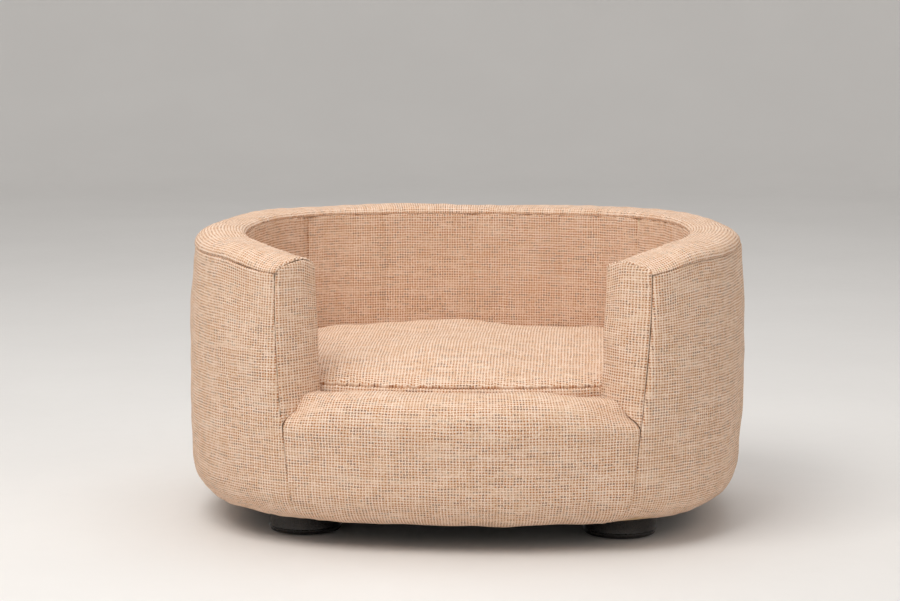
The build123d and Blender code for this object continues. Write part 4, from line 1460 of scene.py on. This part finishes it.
def plain(name, colour, second, scale, rough, stretch=(1.0, 1.0, 1.0), bump=0.0002, metal=0.0, gloss=0.5, coat=0.0):
    """A finish of two mottled colours, with uneven gloss and a fine relief."""
    material, w, shader = new_material(name)
    mottle = w.add("ShaderNodeGroup", node_tree=mottle_group)
    w.feed(mottle.inputs["Place"], w.add("ShaderNodeTexCoord").outputs["Object"])
    w.feed(mottle.inputs["Scale"], scale)
    w.feed(mottle.inputs["Stretch"], stretch)
    w.feed(shader.inputs["Base Color"], w.blend(w.spread(mottle.outputs["Broad"], 0.3, 0.7), colour, second))
    w.feed(shader.inputs["Roughness"], w.spread(mottle.outputs["Fine"], 0.25, 0.75, rough[0], rough[1]))
    relief = w.add("ShaderNodeBump")
    w.feed(relief.inputs["Height"], mottle.outputs["Fine"])
    w.feed(relief.inputs["Distance"], bump)
    w.feed(shader.inputs["Normal"], relief.outputs["Normal"])
    shader.inputs["Metallic"].default_value = metal
    shader.inputs["Specular IOR Level"].default_value = gloss
    shader.inputs["Coat Weight"].default_value = coat
    return material


def plywood(name, pale, deep):
    """Birch plywood: grain on its faces and thin darker plies on its edges."""
    material, w, shader = new_material(name)
    place = w.add("ShaderNodeTexCoord").outputs["Object"]
    x, y, z = w.split(place)
    grain = w.noise(w.vector(w.math("MULTIPLY", x, 0.08), y, z), 420.0, 3.0)
    plies = w.math("SINE", w.math("MULTIPLY", z, 2 * pi / 0.003))
    facing = w.math("ABSOLUTE", w.split(w.add("ShaderNodeNewGeometry").outputs["Normal"])[2])
    on_edge = w.math("MULTIPLY", w.spread(plies, -0.2, 0.6), w.spread(facing, 0.2, 0.6, 0.55, 0.0))
    colour = w.blend(w.spread(grain, 0.3, 0.7), pale, deep)
    w.feed(shader.inputs["Base Color"], w.blend(on_edge, colour, deep))
    w.feed(shader.inputs["Roughness"], w.spread(grain, 0.3, 0.7, 0.5, 0.72))
    relief = w.add("ShaderNodeBump")
    w.feed(relief.inputs["Height"], grain)
    w.feed(relief.inputs["Distance"], 0.0002)
    w.feed(shader.inputs["Normal"], relief.outputs["Normal"])
    return material


materials["plywood"] = plywood("plywood", (0.66, 0.47, 0.28, 1), (0.45, 0.28, 0.14, 1))
materials["pine"] = plain("pine", (0.68, 0.46, 0.24, 1), (0.52, 0.31, 0.14, 1), 30.0, (0.5, 0.75), (6.0, 6.0, 0.6))
materials["hardboard"] = plain("hardboard", (0.27, 0.15, 0.075, 1), (0.20, 0.105, 0.05, 1), 60.0, (0.55, 0.8))
materials["foam"] = plain("foam", (0.80, 0.74, 0.52, 1), (0.74, 0.66, 0.43, 1), 90.0, (0.85, 1.0), bump=0.0006)
materials["cushion_filling"] = plain("cushion_filling", (0.85, 0.85, 0.83, 1), (0.76, 0.76, 0.74, 1), 70.0, (0.9, 1.0), bump=0.0012)
materials["dust_cloth"] = plain("dust_cloth", (0.012, 0.011, 0.011, 1), (0.022, 0.020, 0.020, 1), 160.0, (0.8, 0.95), bump=0.0002, gloss=0.3)
materials["foot_plastic"] = plain("foot_plastic", (0.010, 0.009, 0.009, 1), (0.016, 0.014, 0.013, 1), 55.0, (0.16, 0.34), bump=0.00004, gloss=0.5, coat=0.15)
materials["foot_pad_rubber"] = plain("foot_pad_rubber", (0.030, 0.030, 0.031, 1), (0.042, 0.041, 0.040, 1), 120.0, (0.75, 0.9), gloss=0.3)
materials["zinc_steel"] = plain("zinc_steel", (0.62, 0.62, 0.60, 1), (0.50, 0.50, 0.49, 1), 180.0, (0.25, 0.42), metal=1.0, bump=0.00003)
materials["zip_metal"] = plain("zip_metal", (0.42, 0.33, 0.22, 1), (0.34, 0.26, 0.17, 1), 200.0, (0.22, 0.38), metal=1.0, bump=0.00003)
materials["zip_tape"] = plain("zip_tape", (0.55, 0.41, 0.28, 1), (0.48, 0.35, 0.23, 1), 400.0, (0.8, 0.95), bump=0.0002)
materials["zip_teeth"] = plain("zip_teeth", (0.60, 0.46, 0.32, 1), (0.52, 0.39, 0.26, 1), 150.0, (0.35, 0.5))
materials["floor"] = plain("floor", (0.83, 0.815, 0.80, 1), (0.81, 0.795, 0.78, 1), 3.0, (0.55, 0.7), bump=0.00001)
materials["seam_thread"] = plain("seam_thread", (0.36, 0.20, 0.10, 1), (0.26, 0.13, 0.06, 1), 300.0, (0.7, 0.9))
print("materials:", ", ".join(materials))

# %% [markdown]
# ## Stitches and zip teeth
# Small things that follow a line suit Geometry Nodes: the line is resampled at the stitch length,
# a little body is placed on each point along the line's direction, and the result is made real.
# The same tree sews every seam and sets the teeth of the zip.

# %% Row maker
def row_tree():
    """Geometry Nodes tree that sets a small rounded body at equal steps along curves."""
    tree = bpy.data.node_groups.new("row of small pieces", "GeometryNodeTree")
    sockets = tree.interface
    sockets.new_socket(name="Lines", in_out="INPUT", socket_type="NodeSocketGeometry")
    for title in ("Spacing", "Length", "Width", "Height", "Unevenness"):
        sockets.new_socket(name=title, in_out="INPUT", socket_type="NodeSocketFloat")
    sockets.new_socket(name="Sides", in_out="INPUT", socket_type="NodeSocketInt")
    sockets.new_socket(name="Finish", in_out="INPUT", socket_type="NodeSocketMaterial")
    sockets.new_socket(name="Row", in_out="OUTPUT", socket_type="NodeSocketGeometry")
    w = Wiring(tree)
    given = w.add("NodeGroupInput").outputs
    resample = w.add("GeometryNodeResampleCurve", mode="LENGTH")
    w.feed(resample.inputs["Curve"], given["Lines"])
    w.feed(resample.inputs["Length"], given["Spacing"])
    piece = w.add("GeometryNodeMeshUVSphere")
    w.feed(piece.inputs["Segments"], given["Sides"])
    w.feed(piece.inputs["Rings"], 4)
    w.feed(piece.inputs["Radius"], 0.5)
    size = w.add("ShaderNodeCombineXYZ")
    w.feed(size.inputs[0], given["Width"])
    w.feed(size.inputs[1], given["Height"])
    w.feed(size.inputs[2], given["Length"])
    shaped = w.add("GeometryNodeTransform")
    w.feed(shaped.inputs["Geometry"], piece.outputs["Mesh"])
    w.feed(shaped.inputs["Scale"], size.outputs[0])
    turn = w.add("FunctionNodeAlignRotationToVector", axis="Z")
    w.feed(turn.inputs["Vector"], w.add("GeometryNodeInputTangent").outputs[0])
    uneven = w.add("FunctionNodeRandomValue", data_type="FLOAT")
    low = w.math("SUBTRACT", 1.0, given["Unevenness"])
    high = w.math("ADD", 1.0, given["Unevenness"])
    floats = [socket for socket in uneven.inputs if socket.type == "VALUE" and socket.enabled]
    w.feed(floats[0], low)
    w.feed(floats[1], high)
    uneven.inputs["Seed"].default_value = 7
    placed = w.add("GeometryNodeInstanceOnPoints")
    w.feed(placed.inputs["Points"], resample.outputs["Curve"])
    w.feed(placed.inputs["Instance"], shaped.outputs["Geometry"])
    w.feed(placed.inputs["Rotation"], turn.outputs["Rotation"])
    w.feed(placed.inputs["Scale"], [o for o in uneven.outputs if o.type == "VALUE" and o.enabled][0])
    real = w.add("GeometryNodeRealizeInstances")
    w.feed(real.inputs["Geometry"], placed.outputs["Instances"])
    finish = w.add("GeometryNodeSetMaterial")
    w.feed(finish.inputs["Geometry"], real.outputs["Geometry"])
    w.feed(finish.inputs["Material"], given["Finish"])
    w.feed(w.add("NodeGroupOutput").inputs["Row"], finish.outputs["Geometry"])
    return tree


def row_of_pieces(name, lines, finish, spacing, length, width, height, sides=6, unevenness=0.0):
    """A plain mesh of small pieces set along polylines by the row tree."""
    curve = bpy.data.curves.new(name + "_lines", "CURVE")
    curve.dimensions = "3D"
    for line in lines:
        spline = curve.splines.new("POLY")
        spline.points.add(len(line) - 1)
        spline.points.foreach_set("co", np.column_stack([line, np.ones(len(line))]).ravel())
    guide = bpy.data.objects.new(name + "_lines", curve)
    bpy.context.collection.objects.link(guide)
    rows = guide.modifiers.new("row", "NODES")
    rows.node_group = small_piece_rows
    values = {"Spacing": spacing, "Length": length, "Width": width, "Height": height}
    values.update({"Unevenness": unevenness, "Sides": sides, "Finish": finish})
    for item in small_piece_rows.interface.items_tree:
        if item.in_out == "INPUT" and item.name in values:
            rows[item.identifier] = values[item.name]
    graph = bpy.context.evaluated_depsgraph_get()
    mesh = bpy.data.meshes.new_from_object(guide.evaluated_get(graph))
    bpy.data.objects.remove(guide)
    mesh.shade_smooth()
    piece = bpy.data.objects.new(name, mesh)
    bpy.context.collection.objects.link(piece)
    print(name, "has", len(mesh.polygons), "faces")
    return piece


small_piece_rows = row_tree()

# %% Sew the seams and set the zip's teeth
STITCH_STEP = 0.0034
STITCH = {"length": 0.0024, "width": 0.0008, "height": 0.0007, "unevenness": 0.15}
thread = materials["seam_thread"]
tub_lines = [outer_seam_line, inner_seam_line, *arm_top_lines.values()]
tub_lines += [line[line[:, 2] > 0.11] for line in arm_seam_lines.values()]
for line in sill_seam_lines.values():
    shoulder = (line[:, 2] > 0.118) & (line[:, 1] < -0.178)
    tub_lines.append(line[shoulder])
tub_stitches = row_of_pieces("tub_seam_stitches", tub_lines, thread, STITCH_STEP, **STITCH)
cushion_lines = [np.concatenate([ring, ring[:1]]) for ring in cushion_seam_rings]
cushion_stitches = row_of_pieces("cushion_seam_stitches", cushion_lines, thread, STITCH_STEP, **STITCH)
TOOTH_STEP = 0.0016
chain_low, chain_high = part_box("zip_chain")
chain_z = (chain_low[2] + chain_high[2]) / 2
chain_y = (chain_low[1] + chain_high[1]) / 2
tooth_reach = (chain_high[1] - chain_low[1]) / 2
teeth_lines = []
for side in (-1.0, 1.0):
    y = chain_y + side * 0.3 * tooth_reach
    start = chain_low[0] + (0.6 + 0.5 * (side > 0)) * TOOTH_STEP
    teeth_lines.append(np.array([(start, y, chain_z), (chain_high[0] - 0.0006, y, chain_z)]))
teeth = row_of_pieces(
    "zip_coil_teeth", teeth_lines, materials["zip_teeth"], TOOTH_STEP,
    length=0.0011, width=0.0019, height=0.0032, sides=8,
)

# %% Give every piece its finish
for part in frame["record"]["subparts"]:
    node = frame["nodes"][part["node"]]
    node.data.materials.clear()
    node.data.materials.append(materials[part["material_slot"]])


def dress(piece, body, slot_name, *nodes):
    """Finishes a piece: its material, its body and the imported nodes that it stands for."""
    piece.data.materials.clear()
    piece.data.materials.append(materials[slot_name])
    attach(piece, body)
    if nodes:
        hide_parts(*nodes)


dress(outer_cover, "tub", "tub_weave", "outer_cover")
dress(rim_cover, "tub", "tub_weave", "rim_cover")
dress(inner_cover, "tub", "tub_weave", "inner_cover")
dress(sill_cover, "tub", "tub_weave", "sill_cover")
dress(outer_foam, "tub", "foam", "outer_foam")
dress(inner_foam, "tub", "foam", "inner_foam")
dress(rim_foam, "tub", "foam", "rim_foam")
dress(sill_foam, "tub", "foam", "sill_foam")
for side in ("left", "right"):
    dress(arm_covers[side], "tub", "tub_weave", "arm_front_cover_" + side)
    dress(arm_foams[side], "tub", "foam", "arm_foam_" + side)
dress(dust, "tub", "dust_cloth", "dust_cover")
for name, foot in feet.items():
    dress(foot, "tub", "foot_plastic", name)
dress(cushion, "cushion", "cushion_weave", "cushion_cover", "cushion_core")
for stitches, body_name, slot_name in (
    (tub_stitches, "tub", "tub_weave"),
    (cushion_stitches, "cushion", "cushion_weave"),
):
    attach(stitches, body_name)
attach(teeth, "cushion")
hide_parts("zip_chain")
floor.data.materials.append(materials["floor"])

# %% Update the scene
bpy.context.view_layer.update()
